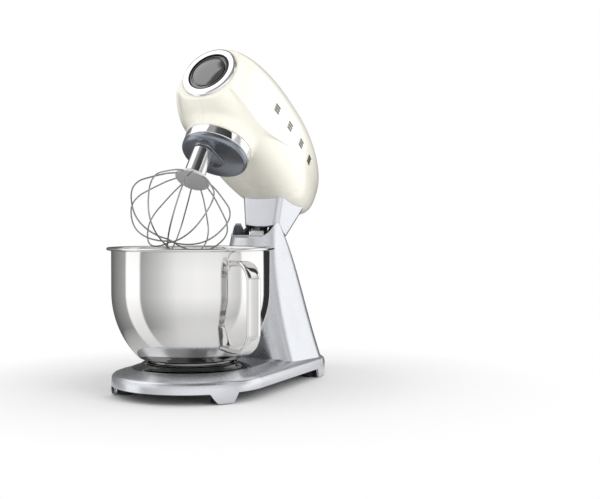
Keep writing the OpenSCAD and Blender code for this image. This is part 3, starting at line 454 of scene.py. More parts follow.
HEAD_W, HEAD_TOP, HEAD_UNDER = 71.0, 381.0, 245.0
WIDEST_Y, NOSE, TAIL, CROWN_Y, TAIL_RISE = 83.0, 184.0, 187.0, 65.0, 20.0
FRONT_Y, TAIL_Y, BADGE_Z = -74.5, 270.0, 314.7
HEAD_MID = (HEAD_TOP + HEAD_UNDER) / 2
BADGE_MIDDLE = np.array([0.0, 0.0, BADGE_Z])
# Powers of the nose, of the tail's sides and of the tail's crown, as rounded_end takes them
NOSE_END, TAIL_SIDES, TAIL_CROWN = (2.5, 2.6), (1.7, 1.7), (2.8, 1.7)
CROWN_POWER, KEEL_POWER = 2.8, 3.0
# Height and radius where the flare meets the hub's collar, how fast it opens, and the width of its blend
FLARE_Z, FLARE_R, FLARE_OPENING, FLARE_BLEND = 243.0, 50.4, 0.022, 4.0
SHELL_T = 3.0
# Half the seam between the two shells, and how far before its end the tail is cut flat
SEAM, TAIL_GAP = 0.12, 0.3
# Stations of the outer skin over the hub, where the flare bends most
OVER_HUB = np.arange(-66, 67, 2.2)
LOUVRES = 6
# Side bars of each set: station along the head, distance from its middle, turn in degrees
TRIM_SETS = [[14, 68.6, -4], [55, 70.6, -1], [97, 70.5, 4], [138, 65.7, 10]]
TRIM_Z, TRIM_PITCH, TRIM_SEAT_HALF = 316.8, 4.6, 5.9


def rounded_end(u, n, m):
    """(1 - u^n)^(1/m): 1 in the middle and 0 at the end, squarer as n and m grow."""
    return np.maximum(0, 1 - np.clip(u, 0, 1) ** n) ** (1 / m)


def head_rings(y, d, angles, flare=True):
    """Sections of the head at stations y, drawn in by d, at angles a from 90 at the crown to -90 at the keel:
    x = w r cos a, z = c + h r sin a with r = (|cos a|^e + |sin a|^e)^(-1/e), a superellipse of exponent e
    whose half width w and half heights h shrink to nothing at both ends. With flare, the underside near the
    hub's axis is drawn down smoothly onto the hub's collar, z = 243 + sqrt((rho - 50.4) / 0.022)."""
    y = np.asarray(y, float)[:, None]
    a = np.radians(np.asarray(angles, float))[None, :]
    to_nose, to_tail = (WIDEST_Y - y) / (NOSE - d), (y - WIDEST_Y) / (TAIL - d)
    crown_to_nose = (CROWN_Y - y) / (CROWN_Y - WIDEST_Y + NOSE - d)
    crown_to_tail = (y - CROWN_Y) / (TAIL_Y - CROWN_Y - d)
    w = np.where(y < WIDEST_Y, rounded_end(to_nose, *NOSE_END), rounded_end(to_tail, *TAIL_SIDES))
    w = (HEAD_W - d) * w
    k = np.where(y < CROWN_Y, rounded_end(crown_to_nose, *NOSE_END), rounded_end(crown_to_tail, *TAIL_CROWN))
    c = HEAD_MID + TAIL_RISE * np.maximum(0, (y - WIDEST_Y) / TAIL) ** 2
    e = np.where(a >= 0, CROWN_POWER, KEEL_POWER)
    r = (np.abs(np.cos(a)) ** e + np.abs(np.sin(a)) ** e) ** (-1 / e)
    h = np.where(a >= 0, (HEAD_TOP - d - c) * k, (c - HEAD_UNDER - d) * k)
    x, z = w * r * np.cos(a), c + h * r * np.sin(a)
    if flare:
        f = FLARE_Z + np.sqrt(np.maximum(0, np.hypot(x, y) - FLARE_R) / FLARE_OPENING)
        t = np.clip(0.5 + 0.5 * (f - z) / FLARE_BLEND, 0, 1)
        low = f * (1 - t) + z * t - FLARE_BLEND * t * (1 - t)
        z = np.where(a < 0, np.minimum(z, low), z)
    return np.stack([x, y + 0 * x, z], -1)


def front_lip(edge):
    """Rings that round the head's front edge: each is that edge drawn towards its middle by a share of its
    size and set back a little."""
    mid = np.array([0.0, FRONT_Y, BADGE_Z])
    return [mid + (edge - mid) * (1 - share) + np.array([0, back, 0])
            for share, back in ((0.05, 0.0), (0.03, 0.0), (0.014, 0.12), (0.005, 0.45))]


def head_half(name, d, stations, steps, seam, outer=True):
    """Right half of the head drawn in by d: its sections from crown to keel, closed by the flat seam face
    x = seam. The outer skin has closer stations over the hub and a small radius round the front edge."""
    y0, y1 = FRONT_Y + d, TAIL_Y - d - TAIL_GAP
    y = (y0 + y1) / 2 - (y1 - y0) / 2 * np.cos(pi * np.linspace(0, 1, stations))
    if outer:
        y = np.unique(np.round(np.concatenate([y[y > FRONT_Y + 1.1], OVER_HUB]), 3))
    angles = np.linspace(90, -90, steps)
    rings = head_rings(y, d, angles, outer)
    if outer:
        rings = np.concatenate([*front_lip(head_rings([FRONT_Y], d, angles)), rings])
    rings[..., 0] = np.maximum(rings[..., 0], seam)
    rings[:, 0, 0] = rings[:, -1, 0] = seam
    return skinned(name, rings)


def crowned(p):
    """From the speed slot's own axes to the head: it lies on the crown and slopes 1.5 degrees to the rear."""
    return turned(p, 0, math.radians(-1.5)) + np.array([0.0, 66.0, HEAD_TOP])


def louvred(k):
    """Where the k-th louvre of the tail is cut: a slot leaning 35 degrees."""
    return lambda p: turned(p, 0, math.radians(-35)) + np.array([-1.0, 252 - 5.2 * k, 322 - 9.5 * k])


def trimmed(station, out, turn, i):
    """From a side bar's own axes to its place in a set of three on the head's right side."""
    return lambda p: (turned(p + np.array([0, 0, TRIM_PITCH * i]), 2, math.radians(turn))
                      + np.array([out, station, TRIM_Z]))


def head_shell(side):
    """One enamelled half of the head: the outer skin less the inner one, the hub, badge and neck openings,
    the speed slot with its plate's seat, the louvres and, on the right, the seats of the side bars."""
    cutters = [
        head_half("inside", SHELL_T, 44, 40, -1.0, outer=False),
        rod("hub_opening", 2, [0, 0], 45.6, 200, 265),
        rod("badge_opening", 1, [0, BADGE_Z], 40.5, FRONT_Y - 5, FRONT_Y + 12),
        block("neck_opening", [-1, 150, 200], [26, 199, 275]),
        block("speed_slot", [-1, 0, -12], [2.2, 66, 12], crowned),
        block("plate_seat", [-1, -5, -1.2], [9, 71, 12], crowned),
    ]
    cutters += [block(f"louvre_{k}", [0, -12, -1.3], [33, 14, 1.3], louvred(k)) for k in range(LOUVRES)]
    if side > 0:
        half = TRIM_SEAT_HALF
        cutters += [block(f"bar_seat_{k}_{i}", [-1.6, -half, -1.3], [9, half, 1.3], trimmed(*place, i))
                    for k, place in enumerate(TRIM_SETS) for i in (-1, 0, 1)]
    name = "shell_right" if side > 0 else "shell_left"
    shell = carved(head_half(name, 0.0, 90, 110, SEAM), cutters)
    if side < 0:
        reshape(shell, lambda p: p * np.array([-1.0, 1.0, 1.0]))
        shell.data.flip_normals()
    return fitted(shell, raised, "head", cream_enamel, ["head_" + name])


head_shell(1)
head_shell(-1)

COLLAR_T, COLLAR_GAP = 2.6, 0.3
# Near and far side of the slots for the frame's arms, either side of the middle
ARM_NEAR, ARM_FAR = 11.5, 20.5
KNUCKLE_R = 33.3


def rounded_outline(w, yf, yr, rf, rr, front_steps, rear_steps):
    """A plan outline of half width w from yf to yr with front corners of radius rf and rear ones of rr."""
    return np.vstack([arc([w - rr, yr - rr], rr, 0, 90, rear_steps),
                      arc([rr - w, yr - rr], rr, 90, 180, rear_steps),
                      arc([rf - w, yf + rf], rf, 180, 270, front_steps),
                      arc([w - rf, yf + rf], rf, 270, 360, front_steps)])


def levelled(outline, z):
    """A plan outline as a ring at height z."""
    return np.column_stack([outline, np.full(len(outline), z)])


def collar_rings(z, d):
    """Rings of the neck collar at heights z, drawn in by d, with corners of radius 9 at the front and 12 at
    the back. With k = (z - 213) / 37 the half width is 30.5 + 5.2 k, the front 161.5 - 19.5 k and the back
    203 + 6.5 k, so that it widens and reaches forward as it rises."""
    rings = []
    for h in z:
        k = (h - 213) / 37
        w, yf, yr = 30.5 + 5.2 * k - d, 161.5 - 19.5 * k + d, 203 + 6.5 * k - d
        rings.append(levelled(rounded_outline(w, yf, yr, 9 - d, 12 - d, 7, 14), h))
    return np.array(rings)


def collar():
    """The painted collar between head and column: its wall follows the head above, hangs in a shallow curve
    below, z = 210 + x^2 / 300, and is slotted at the back for the two arms of the frame."""
    lower = np.vstack([[[60, 190], [-60, 190]], [[x, 210 + x * x / 300] for x in np.linspace(-60, 60, 60)]])
    under = head_rings(np.linspace(118, 230, 24), -COLLAR_GAP, np.linspace(0, -90, 24), flare=False)
    under = np.concatenate([under, under[:, -2::-1] * np.array([-1, 1, 1])], 1)
    piece = carved(skinned("collar", collar_rings(np.linspace(206, 272, 8), 0.0)), [
        skinned("inside", collar_rings(np.linspace(204, 280, 8), COLLAR_T)),
        prism("lower", lower, 1, 110, 250),
        block("arm_right", [ARM_NEAR, 194, 200], [ARM_FAR, 216, 236]),
        block("arm_left", [-ARM_FAR, 194, 200], [-ARM_NEAR, 216, 236]),
        skinned("under_head", under),
        rod("knuckle", 0, HINGE[1:], KNUCKLE_R + 1.5, -50, 50)])
    return fitted(piece, raised, "head", silver_paint, ["neck_collar"])


collar()

# -------------------------------- hub, badge, attachment cap and planet cap

SEAL_R, SEAL_HEIGHT, SEAL_THICK = 31.9, 78.4, 0.8
CAP_DOME_R, CAP_DOME_EDGE, CAP_DOME_RIM = 88, 78.9, 16.8
CAP_R, CAP_ROUND = 43.9, (5.5, 6.4)
WELL_LENGTH, WELL_R = 26, 13.6


def hub_band():
    """The chrome band round the planet cap: an upright ring with its edges rounded by 0.5 mm."""
    face = [[45.65, 228.9], [48.7, 228.9], [49.4, 229.8], [49.4, 241.7], [48.7, 242.8], [45.65, 242.8]]
    return fitted(looped("hub_band", spun(eased(face, 0.5))), raised, "head", chrome, ["hub_ring"])


def badge_band():
    """The broad front ring, crowned by 1 mm between its edges: [radius, distance ahead of the hub's axis]."""
    face = [[43.4, 74.55], [43.4, 75.8], [42.3, 77.8], [39.5, 78.75], [36, 79.1], [32.4, 78.8], [31.65, 78.2],
            [31.65, 74.55]]
    rings = spun(eased(face, 0.7), axis="y") + BADGE_MIDDLE
    return fitted(looped("badge_band", rings), raised, "head", chrome, ["badge_ring"])


def badge_bead():
    """The black seal round the cap: r = 31.9 + 0.8 cos t, height = 78.4 + 0.8 sin t."""
    section = np.array([SEAL_R, SEAL_HEIGHT]) + arc([0, 0], SEAL_THICK, 0, 345, 23)
    rings = spun(section, axis="y") + BADGE_MIDDLE
    return fitted(looped("badge_bead", rings), raised, "head", rubber)


def cap_face():
    """The attachment cap: a shallow dome, r = 88 sin a, height = 78.9 + 88 (cos a - cos 16.8), inside a
    groove and a low outer rim."""
    middle = CAP_DOME_EDGE - CAP_DOME_R * math.cos(math.radians(CAP_DOME_RIM))
    dome = [[CAP_DOME_R * math.sin(math.radians(a)), middle + CAP_DOME_R * math.cos(math.radians(a))]
            for a in np.linspace(16, 0, 12)]
    rim = eased([[30.9, 74.7], [30.9, 77.6], [27.7, 78.6], [27.6, 77.0], [25.4, 77.0], [25.4, 78.8]],
                [0.3, 0.5, 0.5, 0.3, 0.3, 0.4])
    face = np.vstack([rim, dome[:-1], [[AXIS_R, dome[-1][1]], [AXIS_R, 74.7]]])
    rings = spun(face, axis="y") + BADGE_MIDDLE
    # The cap's chrome is painted dark: a painted dark reflection, and partly its dark lettering.
    return fitted(looped("cap_face", rings), raised, "cap", chrome_painted_dark, ["outlet_cap"])


def capsule_line(r, x0, x1):
    """Outline of a slot of half width r between centres x0 and x1."""
    return np.vstack([arc([x1, 0], r, -90, 90, 24), arc([x0, 0], r, 90, 270, 24)])


def planet_cap():
    """The satin cap under the hub: a shallow dish with a round shoulder, r = 43.9 + 5.5 cos a and
    z = 225.6 - 6.4 sin a, and an oval well with a raised lip where the whisk enters."""
    across, down = CAP_ROUND
    shoulder = [[CAP_R + across * math.cos(math.radians(a)), 225.6 - down * math.sin(math.radians(a))]
                for a in range(0, 91, 6)]
    face = np.array([[47.0, 228.4], [49.0, 228.4], [49.4, 228.0], *shoulder, [38, 218.4], [32, 217.6],
                     [18, 216.6], [AXIS_R, 216.2], [AXIS_R, 220.2], [40.2, 220.2], [44, 221.6], [45.4, 223.2],
                     [47, 226.4]])
    lip_rows = ((15.6, 219.4), (15.6, 215.4), (15.3, 214.9), (14.8, 214.6))
    lip_rings = np.stack([levelled(capsule_line(r, -WELL_LENGTH, 0), z) for r, z in lip_rows])
    lip = skinned("lip", lip_rings + np.array([ORBIT, 0, 0]))
    well = prism("well", capsule_line(WELL_R, -WELL_LENGTH, 0) + np.array([ORBIT, 0]), 2, 200, 240)
    piece = carved(looped("planet_cap", spun(face)), [well], [lip])
    return fitted(piece, on_carrier, "carrier", satin_cap, ["planetary_cap"])


hub_band()
badge_band()
badge_bead()
cap_face()
planet_cap()

# -------------------------------- column

COLUMN_Z0, COLUMN_RISE = 30, 208
POCKET_FLOOR, POCKET_R, POCKET_Y, POCKET_FRONT = 203, 34.9, 174, 153
# Height of the cup's rim over its depth, from the front lip to the side walls
RIM_LINE = [[143, 216], [148, 217.5], [153, 220], [158, 223.6], [163, 228], [168, 233], [174, 238]]
BUTTON_Y, BUTTON_Z, BUTTON_TILT = 255.8, 140.0, math.radians(12)
LOCK_REACH, LOCK_ANGLE = 24, 150
# Side view of the slots for the frame's arms, about the hinge
ARM_SLOT = np.array([[-31, -12], [12.6, -12.6], [12.6, 5], [23, 65.3], [-55, 65.3], [-44, 41], [-31, 22]])


def column_sections(s, d):
    """Rings of the column at shares s of its height, drawn in by d. The half width is
    37.5 + 48.5 (1 - s)^1.6, the front 143 - 25 (1 - s)^0.75 and the back 262 - 72 s^4, with round corners."""
    rings = []
    for q in s:
        u = max(q, 0.0)
        w, yf, yr = 37.5 + 48.5 * (1 - u) ** 1.6, 143 - 25 * (1 - u) ** 0.75, 262 - 72 * u**4
        rf, rr = min(w - 0.5, 30 + 8 * u) - d, max(4, min(w - 2.5, 45 - 36.5 * u**4) - d)
        outline = rounded_outline(w - d, yf + d, yr - d, rf, rr, 24, 18)
        rings.append(levelled(outline, COLUMN_Z0 + COLUMN_RISE * q))
    return np.array(rings)


def buttoned(p):
    """From the release button's own axes to the back of the column, leaning with it."""
    return turned(p, 0, BUTTON_TILT) + np.array([0, BUTTON_Y, BUTTON_Z])


def collar_pocket():
    """The space the collar drops into: round at the front and open at the back over the round knuckle."""
    reach = math.degrees(math.asin((POCKET_Y - POCKET_FRONT) / POCKET_R))
    cup = np.vstack([[[POCKET_R, 300]], arc([0, POCKET_Y], POCKET_R, 0, -reach, 14),
                     arc([0, POCKET_Y], POCKET_R, reach - 180, -180, 14), [[-POCKET_R, 300]]])
    knuckle = rod("knuckle", 0, HINGE[1:], KNUCKLE_R, -50, 50, 192)
    return carved(prism("pocket", cup, 2, POCKET_FLOOR, POCKET_FLOOR + 60), [knuckle])


def column_body():
    """The painted column: hollow below, with a rim sweeping down to the front lip of the pocket, a round
    knuckle with slots for the frame's arms, and the bores of hinge, lock and release button."""
    shares = np.concatenate([np.linspace(0, 0.2, 9), np.linspace(0.24, 1, 40)])
    pocket = collar_pocket()
    bore, seat = rod("bore", 1, [0, 0], 9.4, -22, 20), rod("seat", 1, [0, 0], 12.02, -3, 20)
    reshape(bore, buttoned)
    reshape(seat, buttoned)
    above_rim = [[100, RIM_LINE[0][1]], [100, 260], [171, 260], *RIM_LINE[::-1]]
    piece = carved(skinned("column_body", column_sections(shares, 0.0)), [
        skinned("hollow", column_sections([-0.02, 0.1, 0.25, 0.4, 0.54], 9.0)),
        prism("rim", above_rim, 0, -60, 60),
        pocket,
        prism("slot_right", ARM_SLOT + HINGE[1:], 0, ARM_NEAR, ARM_FAR),
        prism("slot_left", ARM_SLOT + HINGE[1:], 0, -ARM_FAR, -ARM_NEAR),
        rod("pin_bore", 0, HINGE[1:], 6.03, -34, 34),
        rod("lock_bore", 0, HINGE[1:] + polar(LOCK_REACH, LOCK_ANGLE), 3.05, -15, 15),
        bore,
        seat])
    return fitted(piece, placed, "stand", silver_paint, ["column"], angle=38)


def catch_guard():
    """The dark guard of the catch, beside the frame's left arm. Its top is round about the hinge, so that the
    collar clears it as the head tips."""
    top = arc(HINGE[1:], 58, 131, 114.5, 12)
    floor_z = POCKET_FLOOR + 0.3
    side = np.vstack([top, [[top[-1][0], floor_z], [top[0][0], floor_z]]])
    fitted(prism("catch_guard", side, 0, -26, -21.2), placed, "stand", black_plastic)


column_body()
catch_guard()

# -------------------------------- base

BASE_R = 110.5
REAR_CORNER, REAR_CORNER_R = (46.0, 221.0), 45
ARCH_H = 15
DISH_R = 82


def base_line(d):
    """The base's outline drawn in by d: a round front, sides that lean to touch it and round rear corners."""
    cx, cy = REAR_CORNER
    lean = math.degrees(math.atan2(cy, cx) - math.acos((BASE_R - REAR_CORNER_R) / math.hypot(cx, cy)))
    return np.vstack([arc([0, 0], BASE_R - d, -180 - lean, lean, 180),
                      arc([cx, cy], REAR_CORNER_R - d, lean, 90, 30),
                      arc([-cx, cy], REAR_CORNER_R - d, 90, 180 - lean, 30)])


def base_layers(rows):
    """Rings of the base's outline at [drawn in, height] rows."""
    return np.array([levelled(base_line(d), z) for d, z in rows])


def arch(name, start, end, axis, lo, hi):
    """A low arch cut through the skirt between two feet, 8 mm narrower at its top on each side."""
    line = [[start, -2], [end, -2], [end - 8, ARCH_H], [start + 8, ARCH_H]]
    return prism("arch_" + name, line, axis, lo, hi)


def base_body():
    """The painted base: a skirt with a rounded edge and a top that rises towards the dish, hollow below, with
    four low arches, the dish's seat, the column's footing and the cord's bore."""
    rows = [[1.4, 1.5], [0.7, 4], [0.2, 7.5], [0, 11], [0, 17], [0.15, 21], [0.5, 24.6], [1.2, 27.4],
            [2.2, 29], [3.8, 30.2], [8, 31.7], [16, 34], [24, 36.4], [28.5, 37.6]]
    arches = [arch("front", -89, 89, 1, -130, -60), arch("right", -48, 214, 0, 84, 124),
              arch("left", -48, 214, 0, -124, -84), arch("rear", -60, 60, 1, 250, 290)]
    footing = column_sections([0.0], 0.0)[0][:, :2]
    piece = carved(skinned("base_body", base_layers(rows)), [
        skinned("cavity", base_layers([[4, -1], [4, 22], [7, 25.6], [11, 27]])),
        *arches,
        rod("dish_seat", 2, [0, 0], DISH_R + 0.1, 35, 45, 160),
        prism("footing", footing, 2, COLUMN_Z0, 50),
        rod("inlet", 1, [0, 21.5], 5.02, 246, 271)])
    return fitted(piece, placed, "stand", silver_paint, ["base_casting"])


def dish():
    """The chrome dish for the bowl's foot: a raised ring round a flat well, with three bayonet entries."""
    face = [[DISH_R, 35.1], [DISH_R, 37.8], [81, 38.6], [76, 39.6], [71.5, 41.8], [68, 44.5], [66, 45.4],
            [61.5, 45.4], [60.2, 44.4], [60.2, 38], [AXIS_R, 38], [AXIS_R, 35.1]]
    cutters = []
    for a in (30, 150, 270):
        cut = block(f"entry_{a}", [58.6, -8, 38.05], [63.6, 8, 49])
        reshape(cut, lambda p: turned(p, 2, math.radians(a)))
        cutters.append(cut)
    radii = [0.2, 0.6, 0.6, 1.5, 1.5, 1.2, 0.8, 0.8, 0.6, 0.3, 0.0, 0.0]
    piece = carved(looped("dish", spun(eased(face, radii, 4), 192)), cutters)
    # The dish's chrome is painted dark: a painted dark reflection of the base around it.
    return fitted(piece, placed, "stand", chrome_painted_dark, ["bowl_seat"])


base_body()
dish()

# -------------------------------- bowl

BOWL_R, BOWL_T = 110, 1.2
BELLY_R, BELLY_Z, CORNER_R = 130, 143, 14
BELLY_X = BOWL_R - BELLY_R
BELLY_END = 43
BELLY = math.radians(BELLY_END)
BOWL_FOOT = BELLY_Z - (BELLY_R - CORNER_R) * math.sin(BELLY) - CORNER_R
HANDLE_TURN = math.radians(-25)
# Middle and radius of the handle's two bends, in its radial plane
UPPER_BEND, LOWER_BEND = ([130, 160], 25.5), ([125, 100], 30.5)
STRAP_HALF_T, STRAP_HALF_W, STRAP_END_Z = 3.6, 10, 72


def bowl_wall(d):
    """Half section of the bowl drawn in by d: flat bottom, a corner of radius 14, then the belly of radius
    130 that touches it 43 degrees below its own middle."""
    inner = BELLY_R - CORNER_R
    corner_middle = [BELLY_X + inner * math.cos(BELLY), BELLY_Z - inner * math.sin(BELLY)]
    corner = arc(corner_middle, CORNER_R - d, -90, -BELLY_END, 10)
    belly = arc([BELLY_X, BELLY_Z], BELLY_R - d, 2 - BELLY_END, 0, 40)
    return np.vstack([[[AXIS_R, BOWL_FOOT + d]], corner, belly])


def bowl_body():
    """The polished bowl: belly and upright wall 1.2 mm thick, with its rim rolled outwards round a bead."""
    inside = 108.8
    bead = arc([114.4, 202.4], 2.1, -120, 120, 20)
    outer = np.vstack([bowl_wall(0.0), [[BOWL_R, 172], [BOWL_R, 198], [110.4, 200.2], [111.6, 201.0]], bead,
                       [[111, 203.9], [109.4, 203.1], [inside, 201.8]]])
    rings = spun(np.vstack([outer, [[inside, 172]], bowl_wall(BOWL_T)[::-1]]), 240)
    bowl = looped("bowl_body", rings)
    return fitted(bowl, placed, "bowl", bowl_steel, ["mixing_bowl"], angle=40)


def handled(p):
    """From a radial plane of the bowl to the handle's place, turned to the front of the right side."""
    return placed(turned(p, 2, HANDLE_TURN))


def bend(middle_and_radius, angles):
    """Points of one of the handle's two bends."""
    middle, r = middle_and_radius
    return [np.array(middle) + polar(r, a) for a in angles]


def squared(t, power, half):
    """half times sign(t) |t|^power, which makes a circle's section squarer."""
    return half * np.sign(t) * np.abs(t) ** power


def handle_strap():
    """The broad strap: a rounded section, |cos|^0.7 by |sin|^0.6, carried along a line from tab to belly."""
    foot = math.asin((STRAP_END_Z - BELLY_Z) / BELLY_R)
    end = [BELLY_X + (BELLY_R + 0.1) * math.cos(foot), STRAP_END_Z]
    line = smoothed([[112.55, 184], [117.5, 184.6], *bend(UPPER_BEND, range(80, -1, -16)),
                     *bend(LOWER_BEND, range(0, -76, -15)), [116, 70], [102, 71], end], 8)
    way = np.gradient(line, axis=0)
    way[0], way[-1] = [1, 0], [-math.cos(foot), -math.sin(foot)]
    way /= np.linalg.norm(way, axis=1)[:, None]
    t = np.linspace(0, 2 * pi, 40, endpoint=False) + 0.01
    across, side = squared(np.cos(t), 0.7, STRAP_HALF_T), squared(np.sin(t), 0.6, STRAP_HALF_W)
    rings = np.stack([line[:, :1] - way[:, 1:] * across, 0 * line[:, :1] + side,
                      line[:, 1:] + way[:, :1] * across], -1)
    strap = skinned("handle_strap", rings)
    return fitted(strap, handled, "bowl", bowl_steel, ["bowl_handle"], angle=50)


bowl_body()
handle_strap()

# -------------------------------- whisk

WIRE_R = 1.05
WIRES, WIRE_STEP = 5, 36
# Half of the outermost loop, as radius and height, from the disc to the tip
CAGE = np.array([[21, 164.9], [35, 156.1], [44.8, 148], [53, 140.6], [59.5, 134.3], [65.6, 127.9],
                 [69.9, 120.3], [72.2, 111], [71.2, 101], [67.5, 91], [62, 80.6], [54.3, 70.8], [44, 62.8],
                 [30, 57], [15, 54.4], [4, 54]])
# How much higher each loop's tip is than that of the loop before
TIP_STEP = 2.4


def wire_loop(k):
    """One loop of wire: its middle line in a plane through the whisk's axis, turned 36 degrees from the loop
    before and lifted 2.4 mm more at the tip, with circles r (n cos t + b sin t) round it."""
    share = (np.arange(len(CAGE)) / (len(CAGE) - 1)) ** 3
    half = CAGE + np.column_stack([0 * share, TIP_STEP * k * share])
    line = smoothed(np.vstack([half, half[::-1] * [-1, 1]]), 6)
    way = np.gradient(line, axis=0)
    way /= np.linalg.norm(way, axis=1)[:, None]
    t = np.linspace(0, 2 * pi, 14, endpoint=False)
    rings = np.stack([line[:, :1] - way[:, 1:] * WIRE_R * np.cos(t), 0 * line[:, :1] + WIRE_R * np.sin(t),
                      line[:, 1:] + way[:, :1] * WIRE_R * np.cos(t)], -1)
    return turned(rings, 2, math.radians(WIRE_STEP * k + 3))


for k in range(WIRES):
    stands_for = ["whisk_wires"] if k == 0 else []
    fitted(skinned(f"wire_{k}", wire_loop(k)), on_whisk, "whisk", wire_steel, stands_for, angle=60)

# -------------------------------- floor, surroundings, lamps and camera

AIM = math.radians(34.491)
TO_CAMERA = (math.sin(AIM), -math.cos(AIM), 0.0)
TO_RIGHT = (math.cos(AIM), math.sin(AIM), 0.0)
WHITE = (1.0, 1.0, 1.0, 1.0)


def graph(data):
    """A cleared node tree of a world or material, with its output node."""
    data.use_nodes = True
    tree = data.node_tree
    tree.nodes.clear()
    kind = "OutputWorld" if isinstance(data, bpy.types.World) else "OutputMaterial"
    return tree, node(tree, kind).inputs["Surface"]


def mixed(tree, share, a, b):
    """Shader a where share is 0 and b where it is 1."""
    mix = node(tree, "MixShader")
    for socket, value in zip(mix.inputs, (share, a, b)):
        tree.links.new(value, socket)
    return mix.outputs[0]


def ramp(tree, angle, stops):
    """Brightness at an angle in radians, from stops of degrees and brightness."""
    made = node(tree, "ValToRGB", Fac=ranged(tree, angle, -pi, pi, 0.0, 1.0))
    table = made.color_ramp.elements
    for degrees, level in stops:
        if abs(degrees) < 180:
            element = table.new((degrees + 180) / 360)
        else:
            element = table[0 if degrees < 0 else -1]
        element.color = (level, level, level, 1.0)
    return made.outputs["Color"]


def studio_picture(tree, given):
    """What a mirror shows of the studio in a direction: soft boxes and dark flags by their angle from the
    camera's own direction, in three rows one above another, under a grey ceiling and over a floor that
    grows darker."""
    way = given["Way"]
    angle = maths(tree, "ARCTAN2", dotted(tree, way, TO_RIGHT), dotted(tree, way, TO_CAMERA))
    height = node(tree, "SeparateXYZ", Vector=way).outputs["Z"]
    low, middle, high = (ramp(tree, angle, stops) for stops in (LOW_ROW, MIDDLE_ROW, HIGH_ROW))
    darker = ranged(tree, height, -0.50, -0.04, 0.72, 1.0)
    multiply = [("data_type", "RGBA"), ("blend_type", "MULTIPLY")]
    seen = node(tree, "Mix", multiply, i0=1.0, i6=low, i7=darker).outputs[2]
    for above, lo, hi in ((middle, 0.04, 0.10), (high, 0.46, 0.54), (CEILING, 0.92, 0.96)):
        share = ranged(tree, height, lo, hi, 0.0, 1.0)
        seen = node(tree, "Mix", [("data_type", "RGBA")], i0=share, i6=seen, i7=above).outputs[2]
    return seen


# Angle from the camera's direction, to its right, and brightness seen there
LOW_ROW = [(-180, 0.10), (-150, 0.18), (-120, 0.40), (-108, 0.50), (-105, 1.4), (-79, 1.4), (-76, 0.46),
           (-48, 0.75), (-20, 1.12), (8, 1.2), (40, 1.15), (72, 0.80), (75, 0.82), (78, 1.4), (127, 1.4),
           (130, 0.04), (158, 0.04), (180, 0.10)]
MIDDLE_ROW = [(-180, 0.10), (-150, 0.20), (-120, 0.40), (-110, 1.1), (-56, 1.1), (-48, 0.70), (-20, 0.80),
              (8, 0.90), (40, 0.90), (72, 0.60), (84, 0.50), (95, 1.35), (127, 1.35), (135, 0.30),
              (180, 0.10)]
HIGH_ROW = [(-180, 0.35), (-150, 0.35), (-142, 1.4), (-70, 1.4), (-62, 0.35), (-20, 0.36), (0, 0.10),
            (58, 0.04), (62, 1.2), (80, 1.2), (84, 0.05), (110, 0.05), (116, 0.8), (180, 0.8)]
CEILING = (0.25, 0.25, 0.25, 1.0)
studio = effect("studio_picture", {"Way": (0.0, 0.0, 1.0)}, ("Colour", "NodeSocketColor"), studio_picture)


def surroundings():
    """White seen directly, a soft light for matt surfaces that is stronger from the front, and the studio's
    picture for mirrors."""
    world = bpy.data.worlds.new("studio")
    tree, end = graph(world)
    way = node(tree, "TexCoord").outputs["Generated"]
    picture = shared(tree, studio, Way=way)
    light = ranged(tree, dotted(tree, way, TO_CAMERA), -1.0, 1.0, 0.46, 1.06)
    rays = node(tree, "LightPath").outputs
    seen = node(tree, "Background", Color=WHITE, Strength=1.0).outputs[0]
    mirrored = node(tree, "Background", Color=picture, Strength=1.0).outputs[0]
    soft = node(tree, "Background", Color=WHITE, Strength=light).outputs[0]
    around = mixed(tree, rays["Is Glossy Ray"], soft, mirrored)
    tree.links.new(mixed(tree, rays["Is Camera Ray"], around, seen), end)
    bpy.context.scene.world = world


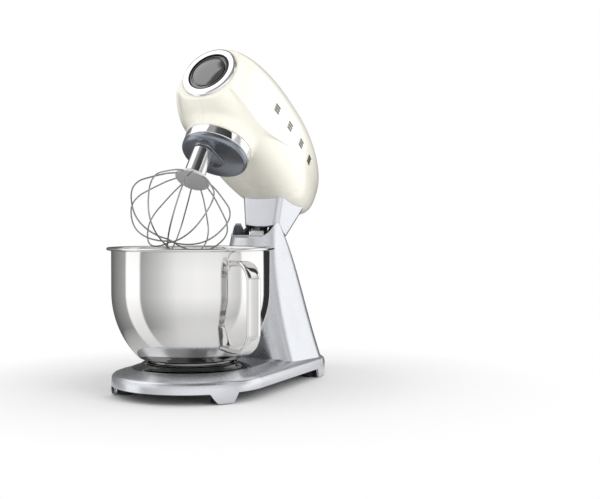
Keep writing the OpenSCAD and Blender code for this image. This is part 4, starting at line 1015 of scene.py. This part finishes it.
def floor():
    """A white floor that keeps the shadow near the object. Farther off it turns plain white, so that no edge
    shows, and from a hand's breadth round the object on mirrors see the studio's picture in it."""
    sheet = block("floor", [-6, -6, -0.01], [6, 6, 0.0])
    mat = bpy.data.materials.new("white_floor")
    tree, end = graph(mat)
    place = node(tree, "TexCoord").outputs["Object"]
    far = node(tree, "VectorMath", [("operation", "LENGTH")], i0=place).outputs["Value"]
    matt = node(tree, "BsdfDiffuse", Color=(0.97, 0.97, 0.97, 1.0)).outputs[0]
    glow = node(tree, "Emission", Color=WHITE, Strength=1.0).outputs[0]
    coming = node(tree, "NewGeometry").outputs["Incoming"]
    way = node(tree, "VectorMath", [("operation", "SCALE")], i0=coming, Scale=-1.0).outputs[0]
    picture = node(tree, "Emission", Color=shared(tree, studio, Way=way), Strength=1.0).outputs[0]
    mirrored = node(tree, "LightPath").outputs["Is Glossy Ray"]
    plain = mixed(tree, ranged(tree, far, 0.22, 0.48, 0.0, 1.0), matt, glow)
    reflected = mixed(tree, ranged(tree, far, 0.20, 0.34, 0.0, 1.0), matt, picture)
    tree.links.new(mixed(tree, mirrored, plain, reflected), end)
    sheet.data.materials.append(mat)


def stood(obj, x, y, z, place):
    """Puts a lamp or the camera at a place, with its own axes along x, y and z."""
    matrix = np.eye(4)
    matrix[:3] = np.column_stack([x, y, z, place])
    obj.matrix_world = matrix.T.tolist()


def lamp(name, place, aim, size, power):
    """A square soft lamp at place, facing aim, that mirrors don't show."""
    data = bpy.data.lights.new(name, "AREA")
    data.size, data.energy = size, power
    obj = linked(name, data)
    z = np.array(place, float) - np.array(aim, float)
    z /= np.linalg.norm(z)
    x = np.cross([0.0, 0.0, 1.0], z)
    x /= np.linalg.norm(x)
    stood(obj, x, np.cross(z, x), z, place)
    obj.visible_glossy = False


# Distance from the bowl's axis and height, in millimetres
CAMERA_AWAY, CAMERA_UP = 1436.53, 233.62
# In pixels of a picture 600 wide: the focal length, and the column in which the bowl's axis stands
FOCAL, AXIS_COLUMN = 1024.39, 191.154


def camera():
    """The camera, turned to the right of the bowl's axis by 6.07 and down by 1.31 degrees."""
    swing, dip = math.atan((300 - AXIS_COLUMN) / FOCAL), math.radians(1.3095)
    right, away, up = np.array(TO_RIGHT), -np.array(TO_CAMERA), np.array([0.0, 0.0, 1.0])
    x = right * math.cos(swing) - away * math.sin(swing)
    ahead = away * math.cos(swing) + right * math.sin(swing)
    y, z = up * math.cos(dip) + ahead * math.sin(dip), up * math.sin(dip) - ahead * math.cos(dip)
    data = bpy.data.cameras.new("camera")
    data.lens, data.sensor_width = 61.463, 36.0
    obj = linked("camera", data)
    stood(obj, x, y, z, placed(np.array(TO_CAMERA) * CAMERA_AWAY + np.array([0.0, 0.0, CAMERA_UP])))
    bpy.context.scene.camera = obj


surroundings()
floor()
lamp("key", [2.0, -0.5, 1.0], [0.0, 0.0, 0.25], 1.3, 12.0)
lamp("fill", [-0.9, -1.5, 1.7], [0.0, 0.0, 0.2], 1.2, 4.0)
lamp("rim", [1.3, 1.2, 0.5], [0.0, 0.1, 0.3], 0.8, 4.0)
camera()

bpy.context.scene.view_settings.view_transform = "Standard"
